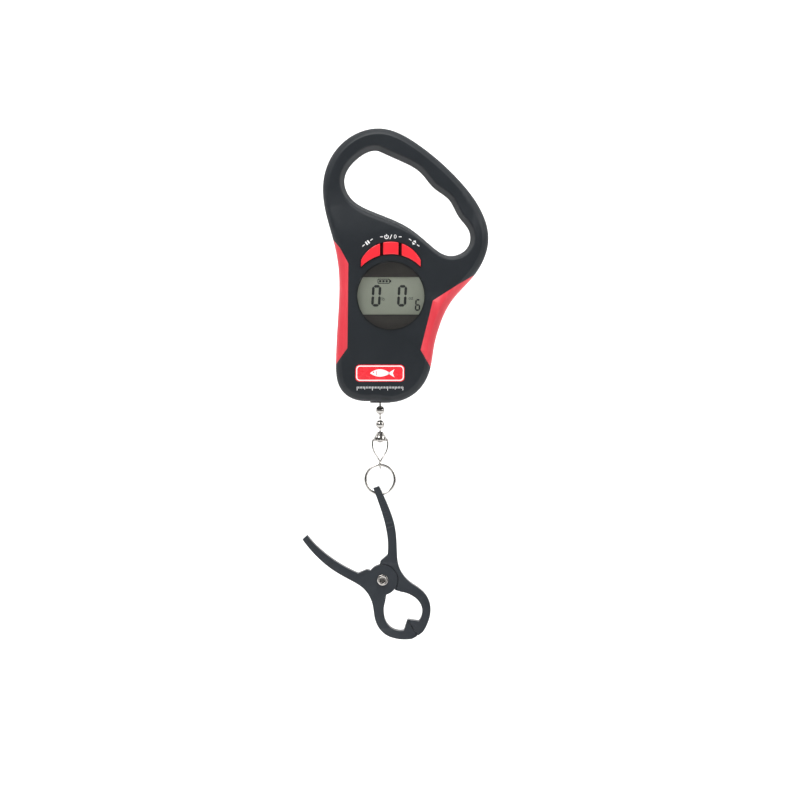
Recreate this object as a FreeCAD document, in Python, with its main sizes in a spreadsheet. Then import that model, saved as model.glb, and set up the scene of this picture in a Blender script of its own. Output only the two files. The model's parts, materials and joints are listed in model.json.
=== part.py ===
import FreeCAD, Part
import math
import os

import Sketcher

V = FreeCAD.Vector
doc = FreeCAD.newDocument("FishScale")
sheet = doc.addObject("Spreadsheet::Sheet", "Sizes")
nodes = {}

# Axes: X to the right, Y to the rear, Z up. The origin is the top of the handle
# opening, right above the chain. The plane Y = 0 parts the two case shells.
SIZES = [
    ("case_front", 12.5, "parting plane to the front face"),
    ("case_rear", 14.3, "parting plane to the rear face"),
    ("handle_half", 9.6, "parting plane to either face of the handle"),
    ("wall", 2.6, "wall of both shells"),
    ("edge_roll", 5.4, "round of the outer edge"),
    ("opening_roll", 2.2, "round of the edge of the handle opening"),
    ("opening_draft", 1.8, "lean of the wall of the handle opening"),
    ("grip_skin", 1.2, "thickness of the rubber grips"),
    ("case_low", -132.1, "underside of the case"),
    ("fit_gap", 0.3, "gap round pieces that drop in or move"),
    ("seat_gap", 0.1, "gap between stacked pieces"),
    ("window_x", 5.7, "centre of the round window"),
    ("window_z", -76.4, "centre of the round window"),
    ("lens_dia", 36.0, "visible lens"),
    ("lens_flange", 2.0, "flange behind the case wall, on the radius"),
    ("lens_proud", 0.3, "lens in front of the case"),
    ("lens_thick", 3.2, "lens over all"),
    ("flange_thick", 1.0, "lens flange"),
    ("gasket_thick", 0.6, "foam ring behind the lens"),
    ("mask_thick", 0.5, "printed mask"),
    ("strip_tall", 19.7, "clear strip of the mask"),
    ("glass_wide", 37.0, "liquid crystal glass"),
    ("glass_tall", 25.0, "liquid crystal glass"),
    ("glass_thick", 2.0, "liquid crystal glass"),
    ("frame_rim", 1.8, "rim of the glass holder"),
    ("board_front", -3.0, "front face of the main board"),
    ("board_thick", 1.6, "main board"),
    ("board_wide", 38.0, "main board"),
    ("board_top", -48.6, "upper edge of the main board"),
    ("board_low", -99.0, "lower edge of the main board"),
    ("button_proud", 0.9, "buttons in front of the case"),
    ("button_travel", 0.8, "stroke of a button"),
    ("button_inner", 21.7, "arc under the buttons, about the window"),
    ("button_outer", 17.4, "arc over the buttons"),
    ("button_arc_z", -65.6, "centre of the upper arc"),
    ("button_split", 4.85, "half distance between the two button gaps"),
    ("button_land", 1.7, "land of the case between two buttons"),
    ("button_reach", 15.6, "outer tip of the side buttons from the window"),
    ("switch_side", 6.0, "body of a tactile switch"),
    ("switch_deep", 3.3, "body of a tactile switch"),
    ("stem_dia", 3.0, "plunger of a tactile switch"),
    ("stem_out", 0.9, "plunger in front of the switch body"),
    ("post_dia", 3.4, "post behind a button"),
    ("badge_wide", 26.0, "badge plate"),
    ("badge_tall", 9.0, "badge plate"),
    ("badge_round", 2.4, "corners of the badge plate"),
    ("badge_thick", 0.8, "badge plate"),
    ("badge_z", -117.2, "centre of the badge"),
    ("cell_dia", 10.5, "battery"),
    ("cell_long", 44.5, "battery"),
    ("cell_x", 2.0, "middle of the two batteries"),
    ("cell_pitch", 10.9, "between the two battery axes"),
    ("cell_y", 6.9, "battery axes"),
    ("cell_top", -52.6, "upper end of the batteries"),
    ("bay_wall", 1.4, "walls and floor of the battery bay"),
    ("bay_floor", 0.2, "inner face of the bay floor from the parting plane"),
    ("door_thick", 1.8, "battery door"),
    ("door_ledge", 1.0, "ledge under the door"),
    ("hook_side", 9.3, "door hooks from the middle of the door"),
    ("load_wide", 22.0, "load cell"),
    ("load_deep", 6.0, "load cell"),
    ("load_top", -101.4, "upper end of the load cell"),
    ("load_low", -125.8, "lower end of the load cell"),
    ("load_slot", 1.2, "slots that make the load cell bend"),
    ("load_bolt", 7.0, "load cell screws from the centre line"),
    ("bolt_down", 3.6, "load cell screws below its upper end"),
    ("bolt_dia", 2.8, "load cell screws"),
    ("screw_dia", 2.2, "case screws"),
    ("screw_head", 4.4, "head of a case screw"),
    ("screw_seat", 4.8, "under the head of a case screw"),
    ("boss_dia", 5.6, "screw bosses"),
    ("bead_dia", 4.76, "ball chain, number ten"),
    ("bead_wall", 0.35, "wall of a bead"),
    ("bead_pitch", 7.45, "between two beads"),
    ("bead_first", -129.25, "bead held in the anchor"),
    ("rod_dia", 1.0, "link rod of the chain"),
    ("rod_head", 1.86, "ball end of a link rod"),
    ("head_offset", 0.98, "ball end from the bead centre"),
    ("anchor_dia", 7.6, "anchor bell"),
    ("stud_dia", 3.0, "thread of the anchor"),
    ("collar_dia", 10.8, "collar under the case"),
    ("bail_wire", 0.9, "wire of the bail"),
    ("ring_dia", 16.8, "split ring outside"),
    ("ring_wire", 1.4, "split ring, on the radius"),
    ("ring_deep", 2.2, "split ring, both turns"),
    ("pivot_x", -1.8, "rivet of the clamp"),
    ("pivot_z", -224.4, "rivet of the clamp"),
    ("clamp_tilt", 58.0, "turn of the clamp about the rivet"),
    ("clamp_deep", 11.0, "width of the clamp arms"),
    ("clamp_strip", 4.4, "thickness of the clamp arms"),
    ("hub_dia", 16.0, "hub of the clamp"),
    ("hub_gap", 0.3, "gap round the hub"),
    ("rivet_floor", 2.0, "closed end of the rivet's hollow, from the middle"),
    ("hub_plate", 3.2, "each hub plate"),
    ("rivet_dia", 3.1, "rivet of the clamp"),
    ("rivet_head", 5.4, "heads of the rivet"),
    ("coil_wire", 0.9, "clamp spring"),
    ("coil_dia", 6.6, "clamp spring, mean"),
]
for row, (alias, value, note) in enumerate(SIZES, 1):
    sheet.set("A%d" % row, note)
    sheet.set("B%d" % row, str(value))
    sheet.setAlias("B%d" % row, alias)
doc.recompute()


def mm(alias):
    return float(sheet.get(alias))


# The outline of the case and of its opening, as points that a smooth curve passes.
CASE_OUTLINE = [
    (0.4, -132.1), (10.0, -131.9), (21.3, -125.0), (26.8, -113.4), (28.3, -104.0),
    (32.0, -90.5), (37.9, -78.8), (50.7, -64.1), (57.1, -46.0), (52.8, -30.5),
    (40.2, -13.7), (20.7, 3.2), (0.0, 12.1), (-18.9, 5.3), (-29.7, -13.7),
    (-28.8, -32.0), (-24.2, -49.0), (-21.6, -66.0), (-22.0, -85.0), (-22.9, -100.0),
    (-23.3, -113.0), (-20.4, -126.0), (-9.2, -131.9),
]
OPENING_OUTLINE = [
    (0.0, 0.0), (12.0, -5.4), (21.3, -11.0), (28.4, -19.2), (36.3, -25.3),
    (41.6, -34.5), (46.8, -41.5), (47.2, -48.5), (42.8, -53.6), (36.0, -54.9),
    (26.8, -49.5), (14.7, -39.9), (-4.2, -31.5), (-16.2, -23.6), (-18.9, -15.4),
    (-12.6, -4.2),
]
SAMPLES = 56


def smooth_loop(points):
    curve = Part.BSplineCurve()
    curve.interpolate(Points=points, PeriodicFlag=True)
    return curve


def outline_points(outline, grow):
    """Points along an outline, moved outward by grow."""
    curve = smooth_loop([V(x, 0, z) for x, z in outline])
    first, last = curve.FirstParameter, curve.LastParameter
    area = sum(a[0] * b[1] - b[0] * a[1] for a, b in zip(outline, outline[1:] + outline[:1]))
    side = grow if area > 0 else -grow
    points = []
    for i in range(SAMPLES):
        where = first + (last - first) * i / SAMPLES
        along = curve.tangent(where)[0]
        points.append(curve.value(where) + V(along.z, 0, -along.x) * side)
    return points


def depth_at(z, low, ramp):
    """Case depth at a height: low at the body, slimmer at the handle."""
    share = min(1.0, max(0.0, (z - ramp[0]) / (ramp[1] - ramp[0])))
    return low + (mm("handle_half") - low) * share * share * (3 - 2 * share)


FRONT_RAMP = (-47.0, -19.0)
REAR_RAMP = (-46.0, -20.0)
FINE_TURNS = (0, 22, 44, 66, 87)
PLAIN_TURNS = (0, 30, 60, 87)


def rolled_solid(outline, side, inset, roll, flare, turns=PLAIN_TURNS):
    """A solid with the outline, whose edge rolls over toward the face.

    side is -1 for the front and +1 for the rear, inset moves wall and face
    inward, flare is -1 where the roll goes inward and +1 where it goes outward."""
    low, ramp = (mm("case_front"), FRONT_RAMP) if side < 0 else (mm("case_rear"), REAR_RAMP)
    grow = inset * flare
    loops = [[V(p.x, -side * 1.0, p.z) for p in outline_points(outline, grow)]]
    base = outline_points(outline, 0)
    if flare > 0:
        loops.append([V(p.x, side * 0.5, p.z) for p in outline_points(outline, grow)])
        grow += mm("opening_draft")
    for turn in turns:
        angle = math.radians(turn)
        shift = grow + flare * roll * (1 - math.cos(angle))
        loop = []
        for at, p in zip(base, outline_points(outline, shift)):
            face = depth_at(at.z, low, ramp) - inset
            loop.append(V(p.x, side * (face - roll + (roll + 0.4) * math.sin(angle)), p.z))
        loops.append(loop)
    last = outline_points(outline, grow + flare * (roll + 0.3))
    loops.append([V(p.x, side * (low + 4.0), p.z) for p in last])
    wires = [Part.Wire([smooth_loop(points).toShape()]) for points in loops]
    return Part.makeLoft(wires, True, True)


def face_slab(side, inset):
    """Everything between the parting plane and the face of one half."""
    low, ramp = (mm("case_front"), FRONT_RAMP) if side < 0 else (mm("case_rear"), REAR_RAMP)
    steps = [ramp[0] + (ramp[1] - ramp[0]) * i / 6 for i in range(7)]
    bend = Part.BSplineCurve()
    along = [V(0, side * (depth_at(z, low, ramp) - inset), z) for z in steps]
    bend.interpolate(Points=along, InitialTangent=V(0, 0, 1), FinalTangent=V(0, 0, 1))
    top, bottom = V(0, along[-1].y, 30), V(0, along[0].y, -150)
    corners = [bottom, V(0, 0, -150), V(0, 0, 30), top]
    edges = [Part.makeLine(a, b) for a, b in zip(corners, corners[1:])]
    edges += [Part.makeLine(top, along[-1]), bend.toShape(), Part.makeLine(along[0], bottom)]
    slab = Part.Face(Part.Wire(Part.__sortEdges__(edges))).extrude(V(200, 0, 0))
    slab.translate(V(-100, 0, 0))
    return slab


def keep(label, shape, place=None):
    """A finished sub-part whose shape comes from Part functions."""
    item = doc.addObject("Part::Feature", label)
    solids = shape.Solids
    item.Shape = solids[0] if len(solids) == 1 else Part.makeCompound(solids)
    if place:
        item.Placement = place
    finish(label, item)


def finish(label, item):
    item.Label = label
    nodes[label] = item


def put(item, x, y, z):
    for axis, value in (("x", x), ("y", y), ("z", z)):
        item.setExpression("Placement.Base." + axis, str(value))


def box(name, x, y, z, wide, deep, tall):
    """A block from its left, front and lower sides, all given as expressions."""
    item = doc.addObject("Part::Box", name)
    for side, value in (("Length", wide), ("Width", deep), ("Height", tall)):
        item.setExpression(side, str(value))
    put(item, x, y, z)
    return item


def round_bar(name, radius, x, y, z, long, along="z"):
    """A cylinder that starts at a point and runs up, to the rear or to the right."""
    item = doc.addObject("Part::Cylinder", name)
    item.setExpression("Radius", str(radius))
    item.setExpression("Height", str(long))
    turn = {"z": (V(0, 0, 1), 0), "y": (V(1, 0, 0), -90), "x": (V(0, 1, 0), 90)}[along]
    item.Placement = FreeCAD.Placement(V(), FreeCAD.Rotation(*turn))
    put(item, x, y, z)
    return item


def ball(name, radius, x, y, z):
    item = doc.addObject("Part::Sphere", name)
    item.setExpression("Radius", str(radius))
    put(item, x, y, z)
    return item


def fuse(name, items):
    item = doc.addObject("Part::MultiFuse", name)
    item.Shapes = items
    return item


def cut(name, base, tool):
    item = doc.addObject("Part::Cut", name)
    item.Base = base
    item.Tool = tool
    return item


def common(name, items):
    item = doc.addObject("Part::MultiCommon", name)
    item.Shapes = items
    return item


def group(name, items):
    item = doc.addObject("Part::Compound", name)
    item.Links = items
    return item


def rod_y(radius, x, z, front, rear):
    return Part.makeCylinder(radius, rear - front, V(x, front, z), V(0, 1, 0))


def block(x0, x1, y0, y1, z0, z1):
    return Part.makeBox(x1 - x0, y1 - y0, z1 - z0, V(x0, y0, z0))


# Places that several pieces share, as expressions for the sheet.
WALL_FRONT = "(Sizes.wall - Sizes.case_front)"
LENS_BACK = "(%s + Sizes.seat_gap + Sizes.flange_thick)" % WALL_FRONT
GASKET_BACK = "(%s + Sizes.seat_gap + Sizes.gasket_thick)" % LENS_BACK
MASK_BACK = "(%s + Sizes.seat_gap + Sizes.mask_thick)" % GASKET_BACK
GLASS_BACK = "(%s + Sizes.seat_gap + Sizes.glass_thick)" % MASK_BACK
FLANGE_RADIUS = "(Sizes.lens_dia / 2 + Sizes.lens_flange)"
STEM_FRONT = "(Sizes.board_front - Sizes.switch_deep - Sizes.stem_out)"
POST_SIDE = 11.4


def button_mid(side):
    """Middle height of the button band at a distance from the window's centre line."""
    outer = "Sizes.button_arc_z + sqrt(Sizes.button_outer ^ 2 - %s ^ 2)" % side
    inner = "Sizes.window_z + sqrt(Sizes.button_inner ^ 2 - %s ^ 2)" % side
    return "((%s + %s) / 2)" % (outer, inner)


def prism(corners, rounding):
    """A block through the whole case from corners in XZ, with rounded corners."""
    wire = Part.makePolygon([V(x, -30, z) for x, z in corners + corners[:1]])
    solid = Part.Face(wire).extrude(V(0, 60, 0))
    return solid.makeFillet(rounding, [e for e in solid.Edges if e.BoundBox.YLength > 50])


GRIP_LEFT = [
    (-45, -22), (-21.0, -51.5), (-16.6, -59.6), (-17.1, -104.0), (-23.6, -113.0), (-45, -135),
]
GRIP_RIGHT = [
    (75, -50.7), (41.0, -70.6), (27.8, -79.0), (21.3, -105.0), (27.0, -114.7), (50, -145), (75, -145),
]
SCREW_SPOTS = [
    (3.5, 5.6), (52.0, -42.5), (-12.5, -41.0), (45.5, -61.3), (-16.0, -119.0), (17.0, -119.0),
]


def bay_box(grow):
    """The inside of the battery bay, or its outside where grow is the wall."""
    half = (mm("cell_pitch") + mm("cell_dia")) / 2 + mm("fit_gap") + grow
    top = mm("cell_top") + 1.6 + grow
    low = mm("cell_top") - mm("cell_long") - 2.4 - grow
    return mm("cell_x") - half, mm("cell_x") + half, low, top


def crescent(grow, front, rear):
    """The band of the three buttons, made larger all round by grow."""
    x, z = mm("window_x"), mm("window_z")
    band = rod_y(mm("button_outer") + grow, x, mm("button_arc_z"), front, rear)
    band = band.cut(rod_y(mm("button_inner") - grow, x, z, front - 1, rear + 1))
    reach = mm("button_reach") + grow
    return band.common(block(x - reach, x + reach, front, rear, z, 0))


def make_front_shell(half, skin):
    front, gap = mm("case_front"), mm("fit_gap")
    shell = half
    for x, z in SCREW_SPOTS:
        face = depth_at(z, front, FRONT_RAMP)
        shell = shell.fuse(rod_y(mm("boss_dia") / 2, x, z, 1.2 - face, 0).common(skin))
    x, z = mm("window_x"), mm("window_z")
    wide, tall = mm("badge_wide") / 2 + gap / 2, mm("badge_tall") / 2 + gap / 2
    middle, depth = mm("badge_z"), mm("badge_thick") + mm("seat_gap")
    seat = block(-wide, wide, -front - 1, depth - front, middle - tall, middle + tall)
    seat = seat.makeFillet(mm("badge_round"), [e for e in seat.Edges if abs(e.tangentAt(0).y) > 0.9])
    tools = [rod_y(mm("lens_dia") / 2 + mm("seat_gap"), x, z, -front - 1, 0), seat]
    tools.append(crescent(gap, -front - 1, -4))
    tools.append(collar_hole())
    tools += [rod_y(mm("screw_dia") / 2 + 0.05, x, z, -7, 1) for x, z in SCREW_SPOTS]
    return shell.cut(tools)


def collar_hole():
    return Part.makeCylinder(mm("collar_dia") / 2 + mm("seat_gap"), 8, V(0, 0, mm("case_low") - 3))


def make_rear_shell(half, skin):
    rear, gap = mm("case_rear"), mm("fit_gap")
    shell = half
    tools = []
    for x, z in SCREW_SPOTS:
        face = depth_at(z, rear, REAR_RAMP)
        shell = shell.fuse(rod_y(mm("boss_dia") / 2 + 0.6, x, z, 0, face - 1.2).common(skin))
        tools.append(rod_y(mm("screw_dia") / 2 + 0.2, x, z, -1, rear + 1))
        tools.append(rod_y(mm("screw_head") / 2 + 0.2, x, z, mm("screw_seat"), rear + 1))
    x0, x1, low, top = bay_box(mm("bay_wall"))
    shell = shell.fuse(block(x0, x1, mm("bay_floor"), rear - 1, low, top))
    for side in (-1, 1):
        x, z = side * mm("load_bolt"), mm("load_top") - mm("bolt_down")
        shell = shell.fuse(rod_y(3.2, x, z, mm("load_deep") / 2 + mm("seat_gap"), rear - 1))
        tools.append(rod_y(mm("bolt_dia") / 2 + 0.05, x, z, 0, 10))
    x0, x1, low, top = bay_box(0)
    floor = mm("bay_floor") + mm("bay_wall")
    tools.append(block(x0, x1, floor, rear + 1, low, top))
    ledge, under = mm("door_ledge") + gap, rear - mm("door_thick") - mm("seat_gap")
    tools.append(block(x0 - ledge, x1 + ledge, under, rear + 1, low - ledge, top + ledge))
    for side in (-1, 1):
        x = mm("cell_x") + side * mm("hook_side")
        tools.append(block(x - 1.9, x + 1.9, 9.9, rear - 1, top - 1, top + 2.6))
    for x in (-1, 1):
        for z in (top - 0.3, low + 0.3):
            tools.append(rod_y(0.8, mm("cell_x") + x * mm("cell_pitch") / 2, z, -1, 3))
    return shell.cut(tools + [collar_hole()])


def make_case():
    """Both shells and the two rubber grips that wrap their sides."""
    wall, grip = mm("wall"), mm("grip_skin")
    grips = {"grip_left": [], "grip_right": []}
    for side, label in ((-1, "front_shell"), (1, "rear_shell")):
        outside = rolled_solid(CASE_OUTLINE, side, 0, mm("edge_roll"), -1, FINE_TURNS)
        outside = outside.common(face_slab(side, 0))
        inside = rolled_solid(CASE_OUTLINE, side, wall, mm("edge_roll") - wall, -1)
        inside = inside.common(face_slab(side, wall))
        inside = inside.cut(rolled_solid(OPENING_OUTLINE, side, wall, mm("opening_roll"), 1))
        under = rolled_solid(CASE_OUTLINE, side, grip, mm("edge_roll") - grip, -1)
        rim = outside.cut(under.common(face_slab(side, grip)))
        skin = outside.cut(rolled_solid(OPENING_OUTLINE, side, 0, mm("opening_roll"), 1, FINE_TURNS))
        half = skin.cut(inside)
        for name, corners in (("grip_left", GRIP_LEFT), ("grip_right", GRIP_RIGHT)):
            piece = rim.common(prism(corners, 1.0))
            half = half.cut(piece)
            grips[name].append(piece)
        keep(label, make_front_shell(half, skin) if side < 0 else make_rear_shell(half, skin))
    for name, pieces in grips.items():
        keep(name, pieces[0].fuse(pieces[1]).removeSplitter())


def plate(label, x, z, rear, thick, draw):
    """A body with one sketch, drawn about (x, z) and padded forward from its rear face."""
    body = doc.addObject("PartDesign::Body", label)
    sketch = body.newObject("Sketcher::SketchObject", label + "_outline")
    plane = [f for f in body.Origin.OriginFeatures if f.Role == "XZ_Plane"][0]
    sketch.AttachmentSupport = [(plane, "")]
    sketch.MapMode = "FlatFace"
    draw(sketch)
    pad = body.newObject("PartDesign::Pad", label + "_pad")
    pad.Profile = sketch
    pad.setExpression("Length", str(thick))
    put(body, x, rear, z)
    sketch.Visibility = False
    finish(label, body)
    return body, pad


def draw_circle(sketch, name, radius):
    circle = sketch.addGeometry(Part.Circle(V(), V(0, 0, 1), 5))
    sketch.addConstraint(Sketcher.Constraint("Coincident", circle, 3, -1, 1))
    sketch.renameConstraint(sketch.addConstraint(Sketcher.Constraint("Radius", circle, 5)), name)
    sketch.setExpression("Constraints." + name, str(radius))


def draw_rectangle(sketch, name, wide, tall):
    """A rectangle centred on the sketch's origin."""
    corners = [V(-5, -3, 0), V(5, -3, 0), V(5, 3, 0), V(-5, 3, 0)]
    lines = [sketch.addGeometry(Part.LineSegment(corners[i], corners[(i + 1) % 4])) for i in range(4)]
    for i in range(4):
        sketch.addConstraint(Sketcher.Constraint("Coincident", lines[i], 2, lines[(i + 1) % 4], 1))
    for i, way in enumerate(("Horizontal", "Vertical", "Horizontal", "Vertical")):
        sketch.addConstraint(Sketcher.Constraint(way, lines[i]))
    sketch.addConstraint(Sketcher.Constraint("Symmetric", lines[0], 1, lines[2], 1, -1, 1))
    across = sketch.addConstraint(Sketcher.Constraint("DistanceX", lines[0], 1, lines[0], 2, 10))
    sketch.renameConstraint(across, name + "_wide")
    up = sketch.addConstraint(Sketcher.Constraint("DistanceY", lines[1], 1, lines[1], 2, 6))
    sketch.renameConstraint(up, name + "_tall")
    sketch.setExpression("Constraints.%s_wide" % name, str(wide))
    sketch.setExpression("Constraints.%s_tall" % name, str(tall))


def round_corners(body, pad, radius):
    """Round the four edges of a padded rectangle that run front to rear."""
    doc.recompute()
    boxes = [(i, e.BoundBox) for i, e in enumerate(pad.Shape.Edges, 1)]
    edges = ["Edge%d" % i for i, b in boxes if b.YLength > 0.2 and b.XLength + b.ZLength < 1e-6]
    rounded = body.newObject("PartDesign::Fillet", pad.Name + "_round")
    rounded.Base = (pad, edges)
    rounded.setExpression("Radius", str(radius))


def make_display():
    x, z = "Sizes.window_x", "Sizes.window_z"
    front = round_bar("lens_disc", "Sizes.lens_dia / 2", x, "-Sizes.case_front - Sizes.lens_proud", z,
                      LENS_BACK + " + Sizes.case_front + Sizes.lens_proud", "y")
    flange = round_bar("lens_rim", FLANGE_RADIUS, x, WALL_FRONT + " + Sizes.seat_gap", z,
                       "Sizes.flange_thick", "y")
    finish("display_lens", fuse("lens", [front, flange]))

    def ring(sketch):
        draw_circle(sketch, "outer", FLANGE_RADIUS)
        draw_circle(sketch, "inner", "Sizes.lens_dia / 2 - 0.4")

    plate("lens_gasket", x, z, GASKET_BACK, "Sizes.gasket_thick", ring)
    disc = round_bar("mask_disc", FLANGE_RADIUS, x, MASK_BACK + " - Sizes.mask_thick", z,
                     "Sizes.mask_thick", "y")
    strip = box("mask_strip", "Sizes.window_x - Sizes.lens_dia / 2 + 0.4", MASK_BACK + " - 2",
                "Sizes.window_z - Sizes.strip_tall / 2", "Sizes.lens_dia - 0.8", 4, "Sizes.strip_tall")
    bore = round_bar("mask_bore", "Sizes.lens_dia / 2 - 0.4", x, MASK_BACK + " - 2", z, 4, "y")
    finish("display_mask", cut("mask", disc, common("mask_window", [strip, bore])))
    plate("lcd_glass", x, z, GLASS_BACK, "Sizes.glass_thick",
          lambda s: draw_rectangle(s, "glass", "Sizes.glass_wide", "Sizes.glass_tall"))

    def holder(sketch):
        draw_rectangle(sketch, "outer", "Sizes.glass_wide + 2 * Sizes.frame_rim",
                       "Sizes.glass_tall + 2 * Sizes.frame_rim")
        draw_rectangle(sketch, "inner", "Sizes.glass_wide + Sizes.fit_gap",
                       "Sizes.glass_tall + Sizes.fit_gap")

    rear = "(Sizes.board_front - Sizes.seat_gap)"
    plate("lcd_frame", x, z, rear, "%s - %s - Sizes.seat_gap" % (rear, MASK_BACK), holder)
    strips = []
    for side, name in ((1, "upper"), (-1, "lower")):
        place = "Sizes.window_z + %d * (Sizes.glass_tall / 2 - 1.6) - 1" % side
        strips.append(box("strip_" + name, "Sizes.window_x - Sizes.glass_wide / 2 + 1",
                          GLASS_BACK + " + Sizes.seat_gap", place, "Sizes.glass_wide - 2",
                          "%s - %s - Sizes.seat_gap" % (rear, GLASS_BACK), 2))
    finish("contact_strips", group("strips", strips))


def make_board():
    def outline(sketch):
        wide = mm("board_wide") / 2
        top, low = mm("board_top") - mm("window_z"), mm("board_low") - mm("window_z")
        corners = [(-wide, low), (wide, low), (wide, top - 7), (wide - 7, top), (-wide, top)]
        lines = []
        for (a, b), (c, d) in zip(corners, corners[1:] + corners[:1]):
            lines.append(sketch.addGeometry(Part.LineSegment(V(a, b, 0), V(c, d, 0))))
        for first, second in zip(lines, lines[1:] + lines[:1]):
            sketch.addConstraint(Sketcher.Constraint("Coincident", first, 2, second, 1))
        for line, way in zip(lines, ("Horizontal", "Vertical", None, "Horizontal", "Vertical")):
            if way:
                sketch.addConstraint(Sketcher.Constraint(way, line))
        names = {
            "left": ("DistanceX", lines[0], 1, -1, 1, wide, "Sizes.board_wide / 2"),
            "right": ("DistanceX", -1, 1, lines[0], 2, wide, "Sizes.board_wide / 2"),
            "low": ("DistanceY", lines[0], 1, -1, 1, -low, "Sizes.window_z - Sizes.board_low"),
            "high": ("DistanceY", -1, 1, lines[3], 1, top, "Sizes.board_top - Sizes.window_z"),
            "corner_wide": ("DistanceX", lines[3], 1, lines[1], 2, 7, "7"),
            "corner_tall": ("DistanceY", lines[1], 2, lines[3], 1, 7, "7"),
        }
        for name, (kind, a, b, c, d, value, rule) in names.items():
            spot = sketch.addConstraint(Sketcher.Constraint(kind, a, b, c, d, value))
            sketch.renameConstraint(spot, name)
            sketch.setExpression("Constraints." + name, rule)

    back = "Sizes.board_front + Sizes.board_thick"
    plate("main_board", "Sizes.window_x", "Sizes.window_z", back, "Sizes.board_thick", outline)
    finish("controller_chip", box("chip", "Sizes.window_x + 3", back, "Sizes.window_z + 4", 7, 1.1, 7))
    small = []
    for i in range(5):
        x = "Sizes.window_x - 14 + %d" % (i * 4)
        small.append(box("part_%d" % i, x, back, "Sizes.window_z - 8", 2, 0.9, 1.2))
    finish("board_components", group("small_parts", small))


def make_buttons():
    """Three switches, and the three buttons that press on their stems."""
    half = "(Sizes.button_split - Sizes.button_land / 2)"
    reach = "(Sizes.button_reach - Sizes.button_split - Sizes.button_land / 2)"
    rows = (("left", -1, "-Sizes.button_reach", reach), ("centre", 0, "-" + half, "2 * " + half),
            ("right", 1, "(Sizes.button_split + Sizes.button_land / 2)", reach))
    front = "(-Sizes.case_front - Sizes.button_proud)"
    deep = "(Sizes.button_proud + Sizes.wall - Sizes.button_travel - Sizes.seat_gap)"
    houses = []
    for name, side, start, wide in rows:
        x = "Sizes.window_x + %s" % (side * POST_SIDE)
        z = button_mid(abs(side) * POST_SIDE)
        column = box(name + "_column", "Sizes.window_x + " + start, front, "Sizes.window_z", wide, deep, 60)
        disc = round_bar(name + "_disc", "Sizes.button_outer", "Sizes.window_x", front,
                         "Sizes.button_arc_z", deep, "y")
        core = round_bar(name + "_core", "Sizes.button_inner", "Sizes.window_x", front + " - 1",
                         "Sizes.window_z", deep + " + 2", "y")
        cap = cut(name + "_cap", common(name + "_band", [column, disc]), core)
        post = round_bar(name + "_post", "Sizes.post_dia / 2", x, "%s + %s - 0.5" % (front, deep), z,
                         "%s - Sizes.seat_gap - %s - %s + 0.5" % (STEM_FRONT, front, deep), "y")
        finish("button_" + name, fuse(name + "_key", [cap, post]))
        stem = round_bar(name + "_stem", "Sizes.stem_dia / 2", x, STEM_FRONT, z, "Sizes.stem_out + 1.2", "y")
        finish("switch_stem_" + name, stem)
        house = box(name + "_house", x + " - Sizes.switch_side / 2",
                    "Sizes.board_front - Sizes.switch_deep", z + " - Sizes.switch_side / 2",
                    "Sizes.switch_side", "Sizes.switch_deep", "Sizes.switch_side")
        well = round_bar(name + "_well", "Sizes.stem_dia / 2 + 0.05", x,
                         "Sizes.board_front - Sizes.switch_deep - 1", z, "Sizes.button_travel + 2.3", "y")
        houses.append(cut(name + "_switch", house, well))
    finish("switch_bodies", group("switches", houses))
    wall = mm("wall") - mm("case_front")
    web = crescent(1.2, wall + 0.1, wall + 0.9)
    x, z = mm("window_x"), mm("window_z")
    web = web.cut(rod_y(mm("lens_dia") / 2 + mm("lens_flange") + 0.2, x, z, -20, 0))
    inner, outer = mm("button_inner"), mm("button_outer")
    for side in (-1, 0, 1):
        away = abs(side) * POST_SIDE
        high, low = math.sqrt(outer ** 2 - away ** 2), math.sqrt(inner ** 2 - away ** 2)
        mid = (mm("button_arc_z") + high + z + low) / 2
        web = web.cut(rod_y(mm("post_dia") / 2 + mm("fit_gap"), x + side * POST_SIDE, mid, -20, 0))
    keep("keypad_web", web)


def make_badge():
    body, pad = plate("badge_plate", 0, "Sizes.badge_z", "Sizes.badge_thick - Sizes.case_front",
                      "Sizes.badge_thick",
                      lambda s: draw_rectangle(s, "badge", "Sizes.badge_wide", "Sizes.badge_tall"))
    round_corners(body, pad, "Sizes.badge_round")


def make_screws():
    """Case screws, all alike, and the two larger ones of the load cell."""
    screws = []
    for i, (x, z) in enumerate(SCREW_SPOTS):
        shank = round_bar("screw_shank_%d" % i, "Sizes.screw_dia / 2", x, -6.6, z,
                          "6.6 + Sizes.screw_seat", "y")
        head = round_bar("screw_head_%d" % i, "Sizes.screw_head / 2", x, "Sizes.screw_seat", z, 1.6, "y")
        screws.append(fuse("screw_%d" % i, [shank, head]))
    finish("case_screws", group("all_case_screws", screws))
    bolts = []
    for i, side in enumerate(("-", "")):
        x, z = side + "Sizes.load_bolt", "Sizes.load_top - Sizes.bolt_down"
        shank = round_bar("bolt_shank_%d" % i, "Sizes.bolt_dia / 2", x, "-Sizes.load_deep / 2", z,
                          "Sizes.load_deep / 2 + 9", "y")
        head = round_bar("bolt_head_%d" % i, 2.6, x, "-Sizes.load_deep / 2 - 2", z, 2, "y")
        bolts.append(fuse("bolt_%d" % i, [shank, head]))
    finish("load_cell_screws", group("all_load_screws", bolts))


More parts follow.
